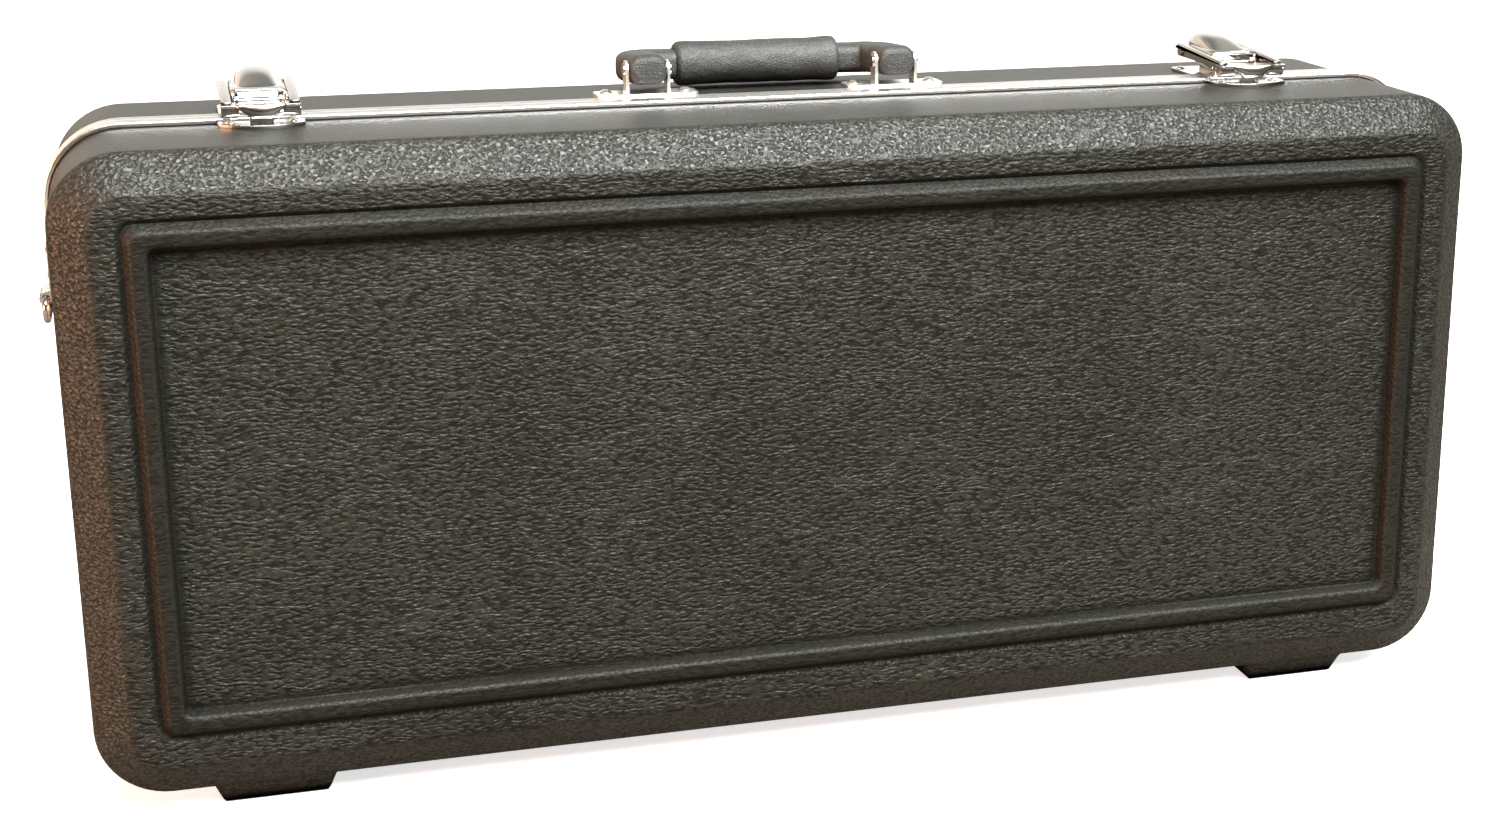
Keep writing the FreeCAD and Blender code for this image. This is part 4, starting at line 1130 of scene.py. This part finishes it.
def make_floor():
    """A white floor, clear from below, that sinks to stay just under the opened lid."""
    made, tree, surface, point = new_material("pale_floor")
    shade = noise_value(tree, point, 3.0, 3.0, 0.5)
    white = blend_colour(tree, shade, (0.90, 0.90, 0.895, 1), (0.93, 0.93, 0.925, 1))
    seen = seen_by_camera(tree)
    colour = blend_colour(tree, seen, (0.20, 0.17, 0.145, 1), white)
    finish_surface(tree, surface, colour, 0.8, specular=0.1)
    surface.inputs["Emission Color"].default_value = (1, 1, 1, 1)
    tree.links.new(maths(tree, "MULTIPLY", seen, 0.7), surface.inputs["Emission Strength"])
    from_below = tree.nodes.new("ShaderNodeNewGeometry").outputs["Backfacing"]
    clear = tree.nodes.new("ShaderNodeBsdfTransparent").outputs[0]
    mixed = add(tree, "ShaderNodeMixShader", {0: from_below, 1: surface.outputs[0], 2: clear})
    output = next(node for node in tree.nodes if node.type == "OUTPUT_MATERIAL")
    tree.links.new(mixed.outputs[0], output.inputs["Surface"])
    mesh = bpy.data.meshes.new("floor")
    reach = 9.0
    corners = [(-reach, -reach, 0), (reach, -reach, 0), (reach, reach, 0), (-reach, reach, 0)]
    mesh.from_pydata(corners, [], [(0, 1, 2, 3)])
    mesh.materials.append(made)
    floor = bpy.data.objects.new("floor", mesh)
    bpy.context.scene.collection.objects.link(floor)
    rest_z = cad_bounds[0][2] - 0.5 * MM
    driver = floor.driver_add("location", 2).driver
    driver.type = "SCRIPTED"
    turned = driver.variables.new()
    turned.name = "a"
    turned.type = "TRANSFORMS"
    turned.targets[0].id = bpy.data.objects["lid_shell"].parent
    turned.targets[0].transform_type = "ROT_X"
    turned.targets[0].transform_space = "WORLD_SPACE"
    hang = f"min(0, {lid_high.z:.4f} * cos(a))"
    reach_down = f"{lid_low.y - 4 * MM:.4f} * abs(sin(a))"
    driver.expression = f"{rest_z:.5f} + {hang} + {reach_down}"


def make_light(name, place, target, size, power, colour):
    lamp = bpy.data.lights.new(name, "AREA")
    lamp.shape = "RECTANGLE"
    lamp.size, lamp.size_y = size
    lamp.energy = power
    lamp.color = colour
    obj = bpy.data.objects.new(name, lamp)
    obj.location = place
    obj.rotation_euler = (Vector(target) - Vector(place)).to_track_quat("-Z", "Y").to_euler()
    bpy.context.scene.collection.objects.link(obj)


def make_world():
    """White behind the case; for reflections a dim room with a bright back wall and dark bands."""
    world = bpy.data.worlds.new("studio")
    world.use_nodes = True
    tree = world.node_tree
    background = tree.nodes["Background"]
    way = tree.nodes.new("ShaderNodeTexCoord").outputs["Generated"]
    split = add(tree, "ShaderNodeSeparateXYZ", {0: way})
    height = split.outputs["Z"]
    behind = ramp(tree, split.outputs["Y"], 0.1, 0.5)
    back_wall = maths(tree, "MULTIPLY", behind, ramp(tree, height, 0.62, 0.42))
    ceiling = maths(tree, "MULTIPLY", ramp(tree, height, 0.3, 0.6), 0.42)
    bands = noise_value(tree, stretched(tree, way, (1.4, 1.4, 5.0)), 1.0, 2.0, 0.6)
    windows = maths(tree, "MULTIPLY", ramp(tree, bands, 0.52, 0.60), 0.4)
    room = maths(tree, "MULTIPLY_ADD", back_wall, 1.5, maths(tree, "ADD", ceiling, windows))
    on_left = ramp(tree, split.outputs["X"], 0.1, -0.8)
    in_front = ramp(tree, split.outputs["Y"], 0.1, -0.5)
    warm = maths(tree, "ADD", on_left, in_front, clamp=True)
    tint = blend_colour(tree, warm, (1.0, 0.98, 0.92, 1), (1.0, 0.68, 0.42, 1))
    lit = add(tree, "ShaderNodeVectorMath", {0: tint, "Scale": room}, operation="SCALE").outputs[0]
    colour = blend_colour(tree, seen_by_camera(tree), lit, (1, 1, 1, 1))
    tree.links.new(colour, background.inputs["Color"])
    background.inputs["Strength"].default_value = 1.0
    bpy.context.scene.world = world


def make_camera():
    """A long-lens view from the front left, a little above, at the case's own scale."""
    camera = bpy.data.cameras.new("camera")
    camera.sensor_width = 36.0
    camera.lens = 56.808
    camera.shift_x = -0.092667
    camera.shift_y = -0.0068
    obj = bpy.data.objects.new("camera", camera)
    yaw = math.radians(17.08)
    pitch = math.radians(16.11)
    forward = Vector((math.sin(yaw) * math.cos(pitch), math.cos(yaw) * math.cos(pitch), -math.sin(pitch)))
    turn = forward.to_track_quat("-Z", "Y").to_matrix()
    roll = Matrix.Rotation(math.radians(0.25), 3, "Z")
    obj.matrix_world = Matrix.Translation((-0.2697, -1.0557, 0.4552)) @ (turn @ roll).to_4x4()
    bpy.context.scene.collection.objects.link(obj)
    bpy.context.scene.camera = obj


dress_cad_nodes()
formed_shell("lid_formed_shell", "lid", -1)
formed_shell("base_formed_shell", "base", 1)
valance("lid_valance_ring", "lid", -1)
valance("base_valance_ring", "base", 1)
leather_handle()
latch_metal("left")
latch_metal("right")
soft_goods()

make_floor()
make_world()
make_light("key", (0.75, -1.9, 1.85), (0, 0, 0.15), (1.5, 0.8), 105, (0.95, 1.0, 0.96))
make_light("overhead", (0.30, -1.25, 2.4), (0, 0, 0.15), (2.1, 0.9), 250, (0.95, 1.0, 0.99))
make_light("warm_side", (-2.2, -0.7, 0.5), (-0.3, 0, 0.15), (0.9, 0.8), 75, (1.0, 0.48, 0.27))
make_camera()
bpy.context.scene.view_settings.view_transform = "Standard"
